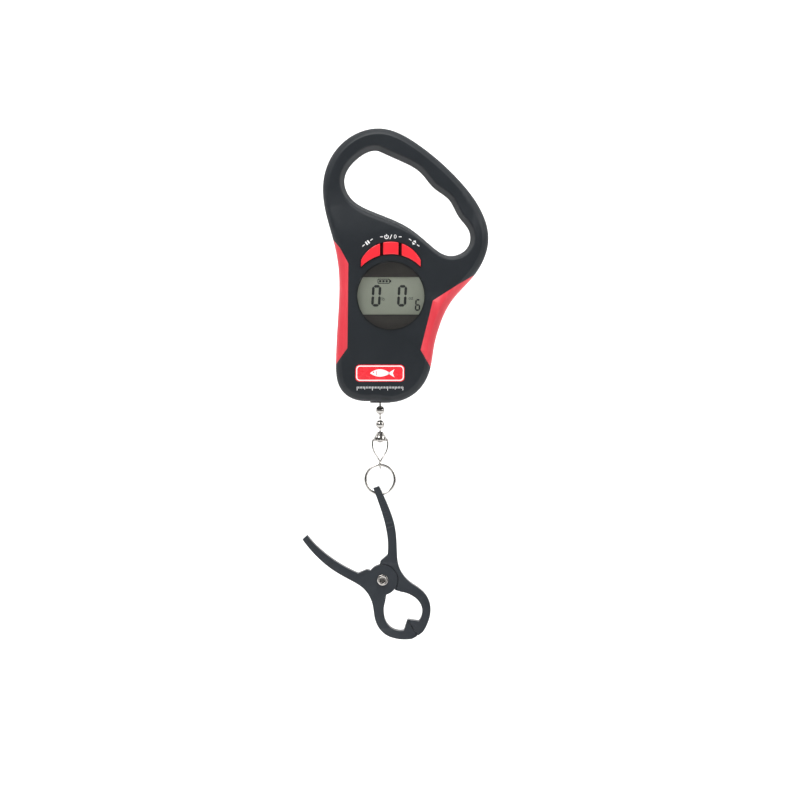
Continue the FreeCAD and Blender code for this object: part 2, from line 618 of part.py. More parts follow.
def make_load_cell():
    wide, deep, through = "Sizes.load_wide", "Sizes.load_deep", "2 * Sizes.load_deep"
    beam = box("beam", "-Sizes.load_wide / 2", "-Sizes.load_deep / 2", "Sizes.load_low", wide, deep,
               "Sizes.load_top - Sizes.load_low")
    tools = [
        box("upper_slot", "-Sizes.load_wide / 4", "-" + deep, "Sizes.load_top - 9", wide, through,
            "Sizes.load_slot"),
        box("lower_slot", "-Sizes.load_wide * 3 / 4", "-" + deep, "Sizes.load_low + 6.6", wide, through,
            "Sizes.load_slot"),
        round_bar("stud_hole", "Sizes.stud_dia / 2 + 0.02", 0, 0, "Sizes.load_low - 1", 6.5),
    ]
    for i, side in enumerate(("-", "")):
        tools.append(round_bar("bolt_hole_%d" % i, "Sizes.bolt_dia / 2 + 0.05", side + "Sizes.load_bolt",
                               "-" + deep, "Sizes.load_top - Sizes.bolt_down", through, "y"))
    finish("load_cell", cut("load_beam", beam, fuse("load_cuts", tools)))
    gauges = []
    for i, x in enumerate((-6.5, 1.5)):
        gauges.append(box("gauge_%d" % i, x, "-Sizes.load_deep / 2 - 0.15",
                          "(Sizes.load_top + Sizes.load_low) / 2 - 2.4", 5, 0.15, 4))
    finish("strain_gauges", group("gauges", gauges))
    middle, front = (mm("load_top") + mm("load_low")) / 2, -mm("load_deep") / 2
    wires = []
    for x in (-3.6, -1.8, 1.8, 3.6):
        path = Part.BSplineCurve()
        path.interpolate([V(x, front - 0.6, middle + 1), V(x, front - 2.4, middle + 7),
                          V(x, front - 2.2, mm("load_top") - 1),
                          V(x, mm("board_front") - 0.45, mm("board_low") + 1.5)])
        start = path.FirstParameter
        section = Part.Wire(Part.makeCircle(0.4, path.value(start), path.tangent(start)[0]))
        wires.append(Part.Wire(path.toShape()).makePipeShell([section], True, False))
    keep("load_cell_wires", Part.makeCompound(wires))


def make_batteries():
    """Two cells the opposite way round, and the plates and springs at their ends."""
    low, top = bay_box(0)[2:]
    end = "Sizes.cell_top - Sizes.cell_long"
    for side, name in ((-1, "left"), (1, "right")):
        x = "Sizes.cell_x + %d * Sizes.cell_pitch / 2" % side
        nub_low = "Sizes.cell_top - 0.8" if side < 0 else end
        can_low = end if side < 0 else end + " + 0.8"
        can = round_bar("can_" + name, "Sizes.cell_dia / 2", x, "Sizes.cell_y", can_low,
                        "Sizes.cell_long - 0.8")
        nub = round_bar("nub_" + name, 1.9, x, "Sizes.cell_y", nub_low, 0.8)
        finish("battery_" + name, fuse("battery_" + name + "_solid", [can, nub]))
    plates = []
    springs = []
    for side in (-1, 1):
        x = mm("cell_x") + side * mm("cell_pitch") / 2
        for level in (top - 0.5, low + 0.1):
            flat = block(x - 4, x + 4, 2.2, 9.6, level, level + 0.4)
            pin_start = mm("board_front") + mm("board_thick") + mm("seat_gap")
            plates.append(flat.fuse(rod_y(0.5, x, level + 0.2, pin_start, 2.4)))
        turns = Part.Wire(Part.makeHelix(0.62, 1.24, 2.6).Edges)
        section = Part.Wire(Part.makeCircle(0.24, V(2.6, 0, 0), V(0, 1, 0.04)))
        coil = turns.makePipeShell([section], True, True)
        coil.translate(V(x, mm("cell_y"), low + 0.8))
        springs.append(coil)
    keep("battery_contacts", Part.makeCompound(plates))
    keep("battery_springs", Part.makeCompound(springs))


def make_door():
    x0, x1, low, top = bay_box(0)
    rear, ledge, inner = mm("case_rear"), mm("door_ledge"), mm("case_rear") - mm("door_thick")
    door = block(x0 - ledge, x1 + ledge, inner, rear, low - ledge, top + ledge)
    corners = [e for e in door.Edges if e.BoundBox.YLength > 1]
    door = door.makeFillet(1.2, corners)
    for side in (-1, 1):
        x = mm("cell_x") + side * mm("hook_side")
        door = door.fuse(block(x - 1.5, x + 1.5, inner - 1.0, inner + 0.2, top - 0.9, top - 0.2))
        door = door.fuse(block(x - 1.5, x + 1.5, inner - 1.0, inner - 0.4, top - 0.9, top + 1.9))
    x = mm("cell_x")
    door = door.fuse(block(x - 3, x + 3, inner - 1.4, inner + 0.2, low + 0.2, low + 1.0))
    for i in range(3):
        z = low + 4 + 2 * i
        door = door.cut(block(x - 5, x + 5, rear - 0.5, rear + 1, z, z + 0.9))
    keep("battery_door", door)


def make_chain():
    first = "Sizes.bead_first"
    for i in range(4):
        z = "%s - %d * Sizes.bead_pitch" % (first, i)
        skin = ball("bead_skin_%d" % i, "Sizes.bead_dia / 2", 0, 0, z)
        hollow = ball("bead_hollow_%d" % i, "Sizes.bead_dia / 2 - Sizes.bead_wall", 0, 0, z)
        hole = round_bar("bead_hole_%d" % i, "Sizes.rod_dia / 2 + 0.31", 0, 0, z + " - 4", 8)
        finish("chain_bead_%d" % i, cut("bead_%d" % i, skin, fuse("bead_inside_%d" % i, [hollow, hole])))
    for i in range(1, 4):
        top = "%s - %d * Sizes.bead_pitch - Sizes.head_offset" % (first, i - 1)
        low = "%s - %d * Sizes.bead_pitch + Sizes.head_offset" % (first, i)
        pieces = [round_bar("rod_shank_%d" % i, "Sizes.rod_dia / 2", 0, 0, low,
                            "Sizes.bead_pitch - 2 * Sizes.head_offset")]
        for name, z in (("top", top), ("low", low)):
            pieces.append(ball("rod_end_%d_%s" % (i, name), "Sizes.rod_head / 2", 0, 0, z))
        finish("chain_rod_%d" % i, fuse("rod_%d" % i, pieces))


def spin(points):
    """A solid turned about the Z axis from a closed outline in XZ."""
    wire = Part.makePolygon([V(x, 0, z) for x, z in points + points[:1]])
    return Part.Face(wire).revolve(V(), V(0, 0, 1), 360)


def make_anchor():
    low, z = mm("load_low"), mm("bead_first")
    bell = Part.makeCylinder(mm("anchor_dia") / 2, low - 0.05 - (z - 2.4), V(0, 0, z - 2.4))
    bell = bell.makeChamfer(0.7, [e for e in bell.Edges if e.BoundBox.ZMax < z])
    bell = bell.fuse(Part.makeCylinder(mm("stud_dia") / 2, 5.4, V(0, 0, low - 0.3)))
    bell = bell.cut(Part.makeSphere(mm("bead_dia") / 2 + 0.05, V(0, 0, z)))
    keep("chain_anchor", bell.cut(Part.makeCylinder(1.9, 4, V(0, 0, z - 4))))
    outer, bottom = mm("collar_dia") / 2, mm("case_low")
    inside = bottom + mm("wall")
    flange = outer + 1.3
    keep("bottom_collar", spin([
        (outer - 1.1, bottom - 0.7), (outer, bottom - 0.7), (outer, inside + 0.4), (flange, inside + 0.4),
        (flange, inside + 1.3), (outer, inside + 1.3), (outer, inside + 2.0), (outer - 1.1, inside + 2.0),
    ]))


BAIL_PIN = 0.4
BAIL_HALF = 4.0
LOOP_RADIUS = 2.2


def last_bead():
    return mm("bead_first") - 3 * mm("bead_pitch")


def loop_centre():
    return last_bead() - 13.7


def ring_top():
    return loop_centre() - 0.3


def make_cup():
    """The bell over the last bead, with the wire bail that hangs in its ears."""
    z, inner = last_bead(), mm("bead_dia") / 2 + 0.06
    neck = mm("rod_dia") / 2 + 0.31
    turns = [math.radians(a) for a in (0, 18, 36, 54)]
    hollow = [(inner * math.cos(a), z + inner * math.sin(a)) for a in turns]
    hollow.append((neck, z + math.sqrt(inner ** 2 - neck ** 2)))
    bell = [(neck, z + 3.6), (1.5, z + 3.6), (3.35, z + 0.6), (3.35, z - 1.4), (inner, z - 1.4)]
    cup = spin(bell + hollow)
    pin = Part.makeCylinder(mm("bail_wire") / 2 + 0.08, 10, V(-5, 0, z - BAIL_PIN), V(1, 0, 0))
    keep("chain_cup", cup.cut(pin))
    wire, half, hook = mm("bail_wire") / 2, BAIL_HALF, z - BAIL_PIN
    neck_z = loop_centre() + LOOP_RADIUS
    bail = Part.makeTorus(LOOP_RADIUS, wire, V(0, 0, loop_centre()), V(1, 0, 0))
    for side in (-1, 1):
        path = [V(side * 2.6, 0, hook), V(side * half, 0, hook), V(side * half, 0, z - 5.8),
                V(side * 0.3, 0, neck_z)]
        for a, b in zip(path, path[1:]):
            bail = bail.fuse(Part.makeCylinder(wire, (b - a).Length, a, b - a))
        for corner in path[1:]:
            bail = bail.fuse(Part.makeSphere(wire, corner))
    keep("wire_bail", bail)


def make_ring():
    middle = "(Sizes.ring_dia / 2 - Sizes.ring_wire / 2)"
    turns = []
    for name, y in (("front", "-"), ("rear", "")):
        turn = doc.addObject("Part::Torus", "ring_turn_" + name)
        turn.setExpression("Radius1", middle)
        turn.setExpression("Radius2", "Sizes.ring_wire / 2")
        turn.Placement = FreeCAD.Placement(V(), FreeCAD.Rotation(V(1, 0, 0), 90))
        put(turn, 0, y + "(Sizes.ring_deep - Sizes.ring_wire) / 2", "%s - %s" % (ring_top(), middle))
        turns.append(turn)
    finish("split_ring", fuse("ring_turns", turns))


# One half of the clamp, in the clamp's own axes: the rivet at the origin, the jaws to +X.
ARM_OUTER = [
    (-43.0, 24.6), (-33.0, 23.3), (-20.3, 20.3), (-9.1, 14.6), (-1.5, 11.0), (7.5, 11.2),
    (16.5, 14.7), (24.5, 14.3), (31.0, 9.3), (34.6, 3.4),
]
ARM_INNER = [(-9.8, 9.2), (-18.9, 14.6), (-31.2, 18.7), (-43.6, 21.4)]
JAW_INNER = [(24.8, 0.15), (28.6, 4.6), (26.2, 8.2), (21.6, 10.2), (15.5, 8.9), (10.6, 5.0)]
JAW_TIP = (34.8, 0.15)
WEB = (-9.0, 4.3)
EYE = (-39.0, 22.8)
REAR_LONG = 43.0
FRONT_LONG = 40.5


def clamp_half(side, long):
    """Arm and jaw on one side of the clamp; side +1 hubs behind, -1 hubs in front."""
    def curve(points):
        line = Part.BSplineCurve()
        line.interpolate([V(x, 0, side * z) for x, z in points])
        return line.toShape()

    def corner(*points):
        return Part.makePolygon([V(x, 0, side * z) for x, z in points]).Edges

    hub, deep, sheet_deep = mm("hub_dia") / 2, mm("clamp_deep") / 2, mm("hub_plate")
    shift = long - REAR_LONG
    outer = [(x - shift if x < -30 else x, z) for x, z in ARM_OUTER]
    inner = [(x - shift if x < -30 else x, z) for x, z in ARM_INNER]
    edges = [curve(outer)] + corner(outer[-1], JAW_TIP, JAW_INNER[0], JAW_INNER[1])
    edges += [curve(JAW_INNER[1:])] + corner(JAW_INNER[-1], (5.0, 0.15), (-5.0, 0.15), WEB, inner[0])
    edges += [curve(inner)] + corner(inner[-1], outer[0])
    body = Part.Face(Part.Wire(Part.__sortEdges__(edges))).extrude(V(0, 2 * deep, 0))
    body.translate(V(0, -deep, 0))
    room = hub + mm("hub_gap")
    if side > 0:
        own = rod_y(hub, 0, 0, deep - sheet_deep, deep)
        free = rod_y(room, 0, 0, -deep - 1, deep - sheet_deep)
    else:
        own = rod_y(hub, 0, 0, -deep, sheet_deep - deep)
        free = rod_y(room, 0, 0, sheet_deep - deep, deep + 1)
    return body.cut(free).fuse(own).cut(rod_y(2.15, 0, 0, -20, 20))


def clamp_place():
    turn = FreeCAD.Rotation(V(0, 1, 0), mm("clamp_tilt"))
    eye = turn.multVec(V(EYE[0], 0, EYE[1]))
    ring_low = ring_top() - (mm("ring_dia") - mm("ring_wire"))
    return FreeCAD.Placement(V(-eye.x, 0, ring_low - eye.z), turn)


def make_clamp():
    place = clamp_place()
    across = place.Rotation.inverted().multVec(V(1, 0, 0))
    start = V(EYE[0], 0, EYE[1]) - across * 12
    rear = clamp_half(1, REAR_LONG).cut(Part.makeCylinder(1.65, 24, start, across))
    keep("clamp_half_rear", rear, place)
    keep("clamp_half_front", clamp_half(-1, FRONT_LONG), place)
    deep = mm("clamp_deep") / 2
    rivet = rod_y(2.1, 0, 0, -deep - 0.3, deep + 0.3)
    for y in (-deep - 1.1, deep + 0.1):
        rivet = rivet.fuse(rod_y(mm("rivet_head") / 2 + 0.2, 0, 0, y, y + 1.0))
    keep("clamp_rivet", rivet.cut(rod_y(mm("rivet_dia") / 2, 0, 0, -20, mm("rivet_floor"))), place)


def make_clamp_spring():
    """A coil about the rivet with one leg against each half, hidden between the hub plates."""
    place, wire, radius = clamp_place(), mm("coil_wire") / 2, mm("coil_dia") / 2
    half = mm("coil_wire") * 11 / 6
    helix = Part.Wire(Part.makeHelix(2 * half / 3, 2 * half, radius).Edges)
    section = Part.Wire(Part.makeCircle(wire, V(radius, 0, 0), V(0, 1, 0.05)))
    coil = helix.makePipeShell([section], True, True)
    coil.rotate(V(), V(1, 0, 0), 90)
    coil.translate(V(0, half, 0))
    reach = mm("hub_dia") / 2 - 0.2
    rest = math.radians(150)
    touch = rest + math.acos(radius / reach)
    end = V(reach * math.cos(rest), half, reach * math.sin(rest))
    base = V(radius * math.cos(touch), half, radius * math.sin(touch))
    keep("clamp_spring", coil.fuse(Part.makeCylinder(wire, (end - base).Length, base, end - base)), place)
    end, base = V(end.x, -half, -end.z), V(base.x, -half, -base.z)
    clear = base + (end - base) * 0.45
    keep("clamp_spring_leg", Part.makeCylinder(wire, (end - clear).Length, clear, end - clear), place)


make_case()
make_display()
make_board()
make_buttons()
make_badge()
make_screws()
make_load_cell()
make_batteries()
make_door()
make_chain()
make_anchor()
make_cup()
make_ring()
make_clamp()
make_clamp_spring()
doc.recompute()

for item in doc.Objects:
    if "Invalid" in item.State or "Error" in item.State:
        raise RuntimeError("%s did not recompute: %s" % (item.Label, item.State))
os.makedirs("parts", exist_ok=True)
for label, item in nodes.items():
    if item.Shape.isNull() or not item.Shape.isValid():
        raise RuntimeError("%s has no valid shape" % label)
    item.Shape.exportStep("parts/%s.step" % label)
print("%d sub-parts written" % len(nodes))
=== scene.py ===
import json
import math
import bpy
import bmesh
from mathutils import Matrix, Vector


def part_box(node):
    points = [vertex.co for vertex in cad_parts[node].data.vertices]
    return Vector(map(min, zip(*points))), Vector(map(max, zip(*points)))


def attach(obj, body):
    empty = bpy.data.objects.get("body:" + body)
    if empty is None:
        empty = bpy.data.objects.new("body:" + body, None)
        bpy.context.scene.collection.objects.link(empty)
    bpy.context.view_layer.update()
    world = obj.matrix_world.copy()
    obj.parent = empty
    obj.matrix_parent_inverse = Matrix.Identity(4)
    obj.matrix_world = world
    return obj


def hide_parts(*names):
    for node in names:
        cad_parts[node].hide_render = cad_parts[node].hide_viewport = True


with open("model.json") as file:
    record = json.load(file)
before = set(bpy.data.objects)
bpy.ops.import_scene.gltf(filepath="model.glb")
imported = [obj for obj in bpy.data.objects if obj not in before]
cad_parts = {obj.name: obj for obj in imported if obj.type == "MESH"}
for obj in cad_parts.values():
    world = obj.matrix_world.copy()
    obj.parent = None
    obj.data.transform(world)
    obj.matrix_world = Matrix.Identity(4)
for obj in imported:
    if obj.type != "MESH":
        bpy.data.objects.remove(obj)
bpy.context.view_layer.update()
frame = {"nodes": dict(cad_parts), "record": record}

nodes = frame["nodes"]
record = frame["record"]
bodyOf = {node: body for body, members in record["behaviour"]["bodies"].items() for node in members}
slotOf = {row["node"]: row["material_slot"] for row in record["subparts"]}
mm = 0.001
print("frame loaded:", len(nodes), "pieces")


def middle(node):
    low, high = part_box(node)
    return (low + high) / 2


# camera, sweep and lights

view = {"distance": 1.5, "width": 0.4200, "x": 0.0105, "z": -0.13125}
camera = bpy.data.objects.new("camera", bpy.data.cameras.new("camera"))
camera.data.sensor_width = 36
camera.data.lens = 36 * view["distance"] / view["width"]
camera.location = (view["x"], -view["distance"] - 0.012, view["z"])
camera.rotation_euler = (math.radians(90), 0, 0)
bpy.context.scene.collection.objects.link(camera)
bpy.context.scene.camera = camera
bpy.context.scene.view_settings.view_transform = "Standard"


class Link:                                    # an output that does sums
    def __init__(self, owner, socket):
        self.owner = owner
        self.socket = socket

    def sum(self, operation, first, second=0.0):
        return self.owner.node(self.owner.mathKind, {"operation": operation}, {0: first, 1: second})

    def __add__(self, other):
        return self.sum("ADD", self, other)

    def __radd__(self, other):
        return self.sum("ADD", other, self)

    def __sub__(self, other):
        return self.sum("SUBTRACT", self, other)

    def __rsub__(self, other):
        return self.sum("SUBTRACT", other, self)

    def __mul__(self, other):
        return self.sum("MULTIPLY", self, other)

    def __rmul__(self, other):
        return self.sum("MULTIPLY", other, self)

    def __lt__(self, other):
        return self.sum("LESS_THAN", self, other)

    def __gt__(self, other):
        return self.sum("GREATER_THAN", self, other)

    def __abs__(self):
        return self.sum("ABSOLUTE", self)


class NodeMaker:                               # the one way that nodes are added
    mathKind = "ShaderNodeMath"

    def node(self, kind, settings=None, inputs=None, output=0):
        made = self.tree.nodes.new(kind)
        for name, value in (settings or {}).items():
            if name == "stops":
                self.setStops(made.color_ramp, value)
            else:
                setattr(made, name, value)
        for name, value in (inputs or {}).items():
            socket = made.inputs[name]
            if isinstance(value, Link):
                self.tree.links.new(value.socket, socket)
            else:
                socket.default_value = value
        return Link(self, made.outputs[output]) if len(made.outputs) else None

    def setStops(self, ramp, stops):
        while len(ramp.elements) < len(stops):
            ramp.elements.new(0.5)
        for element, (place, colour) in zip(ramp.elements, stops):
            element.position = place
            element.color = colour


class Finish(NodeMaker):                       # one material
    def __init__(self, name, roughness=0.5, metallic=0.0, **fixed):
        self.material = bpy.data.materials.new(name)
        self.material.use_nodes = True
        self.tree = self.material.node_tree
        self.shader = self.tree.nodes["Principled BSDF"]
        self.coords = self.node("ShaderNodeTexCoord", output="Object")
        self.feed("Roughness", roughness)
        self.feed("Metallic", metallic)
        for socket, value in fixed.items():
            self.feed({"specular": "Specular IOR Level", "coat": "Coat Weight",
                       "coatRoughness": "Coat Roughness"}[socket], value)

    def feed(self, socket, value):
        if isinstance(value, Link):
            self.tree.links.new(value.socket, self.shader.inputs[socket])
        else:
            self.shader.inputs[socket].default_value = value

    def noise(self, scale, detail=3.0, stretch=None):
        where = self.coords
        if stretch:
            where = self.node("ShaderNodeMapping", inputs={"Vector": where, "Scale": stretch})
        return self.node("ShaderNodeTexNoise", inputs={"Vector": where, "Scale": scale, "Detail": detail})

    def cells(self, scale):
        return self.node("ShaderNodeTexVoronoi", inputs={"Vector": self.coords, "Scale": scale})

    def axis(self, name):
        return self.node("ShaderNodeSeparateXYZ", inputs={0: self.coords}, output=name)

    def mix(self, share, first, second):
        made = self.node("ShaderNodeMix", {"data_type": "RGBA", "clamp_factor": True},
                         {0: share, 6: first, 7: second}, output=2)
        return made

    def clearer(self, value, low, high):       # a value spread from 0 at low to 1 at high
        return self.node("ShaderNodeMapRange", {"interpolation_type": "SMOOTHSTEP"},
                         {"Value": value, "From Min": low, "From Max": high})

    def bump(self, height, strength, distance):
        lifted = self.node("ShaderNodeBump",
                           inputs={"Height": height, "Strength": strength, "Distance": distance})
        self.feed("Normal", lifted)


def rgb(red, green, blue):
    return (red, green, blue, 1.0)


sweep = {"floor": -0.335, "wall": 0.45, "bend": 0.28, "front": -0.9, "half": 2.6, "height": 1.7}


def makeSweep():
    line = [(sweep["front"], sweep["floor"]), (sweep["wall"] - sweep["bend"], sweep["floor"])]
    for step in range(1, 17):
        turn = math.radians(90 * step / 16)
        line.append((sweep["wall"] - sweep["bend"] + sweep["bend"] * math.sin(turn),
                     sweep["floor"] + sweep["bend"] * (1 - math.cos(turn))))
    line.append((sweep["wall"], sweep["height"]))
    mesh = bpy.data.meshes.new("sweep")
    points = [(side * sweep["half"], y, z) for y, z in line for side in (-1, 1)]
    faces = [(2 * i, 2 * i + 1, 2 * i + 3, 2 * i + 2) for i in range(len(line) - 1)]
    mesh.from_pydata(points, [], faces)
    mesh.shade_smooth()
    paint = Finish("palePaper", roughness=0.9, specular=0.1)
    paint.feed("Base Color", paint.mix(paint.noise(6.0), rgb(0.90, 0.90, 0.905), rgb(0.93, 0.93, 0.93)))
    reverse = paint.node("ShaderNodeNewGeometry", output="Backfacing")
    fromCamera = paint.node("ShaderNodeLightPath", output="Is Camera Ray")
    paint.feed("Alpha", 1.0 - reverse * fromCamera)     # clear when it is looked through from its back
    mesh.materials.append(paint.material)
    floor = bpy.data.objects.new("sweep", mesh)
    bpy.context.scene.collection.objects.link(floor)


def addLight(name, place, target, wide, tall, power, colour=(1, 1, 1)):
    lamp = bpy.data.lights.new(name, "AREA")
    lamp.shape = "RECTANGLE"
    lamp.size = wide
    lamp.size_y = tall
    lamp.energy = power
    lamp.color = colour
    thing = bpy.data.objects.new(name, lamp)
    thing.location = place
    thing.rotation_euler = (Vector(target) - Vector(place)).to_track_quat("-Z", "Y").to_euler()
    bpy.context.scene.collection.objects.link(thing)


lights = {
    "keyLight": ((-0.55, -1.0, 0.95), (0, 0, -0.08), 0.6, 0.6, 20.0),
    "rightStrip": ((0.95, -0.55, 0.35), (0, 0, -0.1), 0.25, 0.9, 5.0),
    "topStrip": ((0.05, -0.25, 0.8), (0, 0, -0.02), 0.8, 0.25, 7.0),
    "wallLeft": ((-1.2, -0.1, 0.7), (-0.1, 0.45, -0.15), 0.6, 0.6, 3.2),
    "wallRight": ((1.2, -0.1, 0.7), (0.1, 0.45, -0.15), 0.6, 0.6, 3.2),
}
for name, (place, target, wide, tall, power) in lights.items():
    addLight(name, place, target, wide, tall, power)
world = bpy.data.worlds.new("studio")
world.use_nodes = True
world.node_tree.nodes["Background"].inputs["Color"].default_value = rgb(1.0, 1.0, 1.0)
world.node_tree.nodes["Background"].inputs["Strength"].default_value = 0.16
bpy.context.scene.world = world
makeSweep()
print("stage ready")


# finishes

caseLook = {"dark": rgb(0.009, 0.011, 0.0135), "light": rgb(0.015, 0.018, 0.0215), "roughness": 0.40,
            "grain": 3600.0, "specular": 0.24}
gripLook = {"deep": rgb(0.46, 0.018, 0.030), "bright": rgb(0.62, 0.038, 0.056), "roughness": 0.50,
            "grain": 3000.0}
clampLook = {"dark": rgb(0.011, 0.014, 0.018), "light": rgb(0.021, 0.025, 0.031), "roughness": 0.46,
             "grain": 2600.0}
buttonLook = {"deep": rgb(0.66, 0.012, 0.022), "bright": rgb(0.78, 0.024, 0.036), "roughness": 0.30}
nickelLook = {"bright": rgb(0.50, 0.48, 0.455), "dull": rgb(0.30, 0.285, 0.27), "roughness": 0.16}
seamGrooveAndShadeHalf = 0.10 * mm                           # half the fine line where the shells meet: a bump groove with painted shade in it


def makeCase():
    case = Finish("casePlastic", specular=caseLook["specular"])
    grazing = case.node("ShaderNodeLayerWeight", inputs={"Blend": 0.35}, output="Facing")
    grain = case.noise(caseLook["grain"], 2.0)
    cloud = case.noise(38.0, 4.0)
    scuff = case.clearer(case.noise(90.0, 6.0, (1.0, 1.0, 0.22)), 0.62, 0.74)
    seam = abs(case.axis("Y")) < seamGrooveAndShadeHalf
    base = case.mix(cloud, caseLook["dark"], caseLook["light"])
    worn = case.mix(scuff * 0.22, base, rgb(0.045, 0.048, 0.052))
    # the seam line is darkened to near black: painted shade in the gap between the shells
    case.feed("Base Color", case.mix(seam * 0.85, worn, rgb(0.002, 0.002, 0.002)))
    case.feed("Roughness", cloud * 0.10 + scuff * 0.08 + grazing * 0.45 + (caseLook["roughness"] - 0.05))
    case.bump(grain * 0.35 + case.cells(caseLook["grain"] * 0.6) * 0.3 - seam * 4.0, 0.22, 0.05 * mm)
    return case.material


def makeGrip():
    grip = Finish("gripRubber", specular=0.4)
    grain = grip.noise(gripLook["grain"], 2.0)
    cloud = grip.noise(45.0, 4.0)
    streak = grip.clearer(grip.noise(160.0, 5.0, (1.0, 1.0, 0.12)), 0.56, 0.72)
    seam = abs(grip.axis("Y")) < seamGrooveAndShadeHalf
    base = grip.mix(cloud, gripLook["deep"], gripLook["bright"])
    rubbed = grip.mix(streak * 0.16, base, rgb(0.78, 0.16, 0.17))
    # the seam line is darkened: painted shade in the gap between the shells
    grip.feed("Base Color", grip.mix(seam * 0.6, rubbed, rgb(0.12, 0.004, 0.006)))
    grip.feed("Roughness", cloud * 0.12 + streak * 0.06 + (gripLook["roughness"] - 0.06))
    grip.bump(grain * 0.5 + streak * 0.3 - seam * 3.0, 0.25, 0.05 * mm)
    return grip.material


def makeClampPlastic():
    clamp = Finish("clampPlastic", specular=0.30)
    cloud = clamp.noise(70.0, 4.0)
    flow = clamp.noise(220.0, 4.0, (0.25, 1.0, 1.0))
    base = clamp.mix(cloud, clampLook["dark"], clampLook["light"])
    clamp.feed("Base Color", clamp.mix(clamp.clearer(flow, 0.6, 0.75) * 0.2, base, rgb(0.06, 0.065, 0.07)))
    clamp.feed("Roughness", cloud * 0.12 + flow * 0.06 + (clampLook["roughness"] - 0.09))
    clamp.bump(clamp.noise(clampLook["grain"], 2.0) * 0.5 + flow * 0.3, 0.25, 0.06 * mm)
    return clamp.material


def makeButtonPlastic():
    button = Finish("buttonPlastic", specular=0.5, coat=0.25, coatRoughness=0.12)
    cloud = button.noise(120.0, 3.0)
    button.feed("Base Color", button.mix(cloud, buttonLook["deep"], buttonLook["bright"]))
    button.feed("Roughness", cloud * 0.10 + (buttonLook["roughness"] - 0.05))
    button.bump(button.noise(2400.0, 2.0), 0.10, 0.03 * mm)
    return button.material


def makeMetal(name, look, grainScale, stretch=None):
    metal = Finish(name, metallic=1.0)
    cloud = metal.noise(240.0, 3.0)
    lines = metal.noise(grainScale, 3.0, stretch)
    metal.feed("Base Color", metal.mix(cloud * 0.6, look["bright"], look["dull"]))
    metal.feed("Roughness", cloud * 0.10 + lines * 0.08 + (look["roughness"] - 0.08))
    metal.bump(lines, 0.12, 0.015 * mm)
    return metal.material


def makeLens():
    lens = Finish("clearLens", roughness=0.06, metallic=1.0)
    rim = lens.node("ShaderNodeFresnel", inputs={"IOR": 1.46})
    lens.feed("Base Color", rgb(0.95, 0.96, 0.97))
    lens.feed("Alpha", rim * 0.85 + 0.015)
    return lens.material


def makePanel():
    panel = Finish("displayPanel", roughness=0.32, specular=0.4)
    height = panel.axis("Z")
    low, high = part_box("lcd_glass")
    # painted light: the panel is lighter towards the top and darker towards the bottom
    paintedTopLight = panel.clearer(height, low.z, high.z)
    speck = panel.noise(900.0, 2.0)
    tintWithPaintedLight = panel.mix(paintedTopLight, rgb(0.47, 0.51, 0.41), rgb(0.56, 0.60, 0.49))
    panel.feed("Base Color", panel.mix(speck * 0.15, tintWithPaintedLight, rgb(0.34, 0.38, 0.30)))
    panel.bump(panel.noise(5000.0, 2.0), 0.05, 0.01 * mm)
    return panel.material


def makeFilm(name, dark, light, roughness):
    film = Finish(name, specular=0.35)
    cloud = film.noise(300.0, 3.0)
    film.feed("Base Color", film.mix(cloud, dark, light))
    film.feed("Roughness", cloud * 0.1 + roughness)
    film.bump(film.noise(4000.0, 2.0), 0.08, 0.01 * mm)
    return film.material


def makeBoard():
    board = Finish("boardMask", specular=0.5)
    tracks = board.node("ShaderNodeTexBrick", inputs={
        "Vector": board.coords, "Scale": 420.0, "Mortar Size": 0.06, "Color1": rgb(0.010, 0.085, 0.030),
        "Color2": rgb(0.014, 0.105, 0.038), "Mortar": rgb(0.030, 0.160, 0.060)})
    board.feed("Base Color", tracks)
    board.feed("Roughness", board.noise(600.0) * 0.15 + 0.25)
    return board.material


def makeSleeve():
    sleeve = Finish("cellSleeve", specular=0.5)
    low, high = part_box("battery_left")
    band = sleeve.axis("Z") > (high.z - 12 * mm)
    base = sleeve.mix(sleeve.noise(200.0), rgb(0.020, 0.024, 0.040), rgb(0.030, 0.036, 0.055))
    sleeve.feed("Base Color", sleeve.mix(band, base, rgb(0.55, 0.33, 0.10)))
    sleeve.feed("Metallic", band * 0.7 + 0.1)
    sleeve.feed("Roughness", sleeve.noise(900.0) * 0.1 + 0.25)
    return sleeve.material


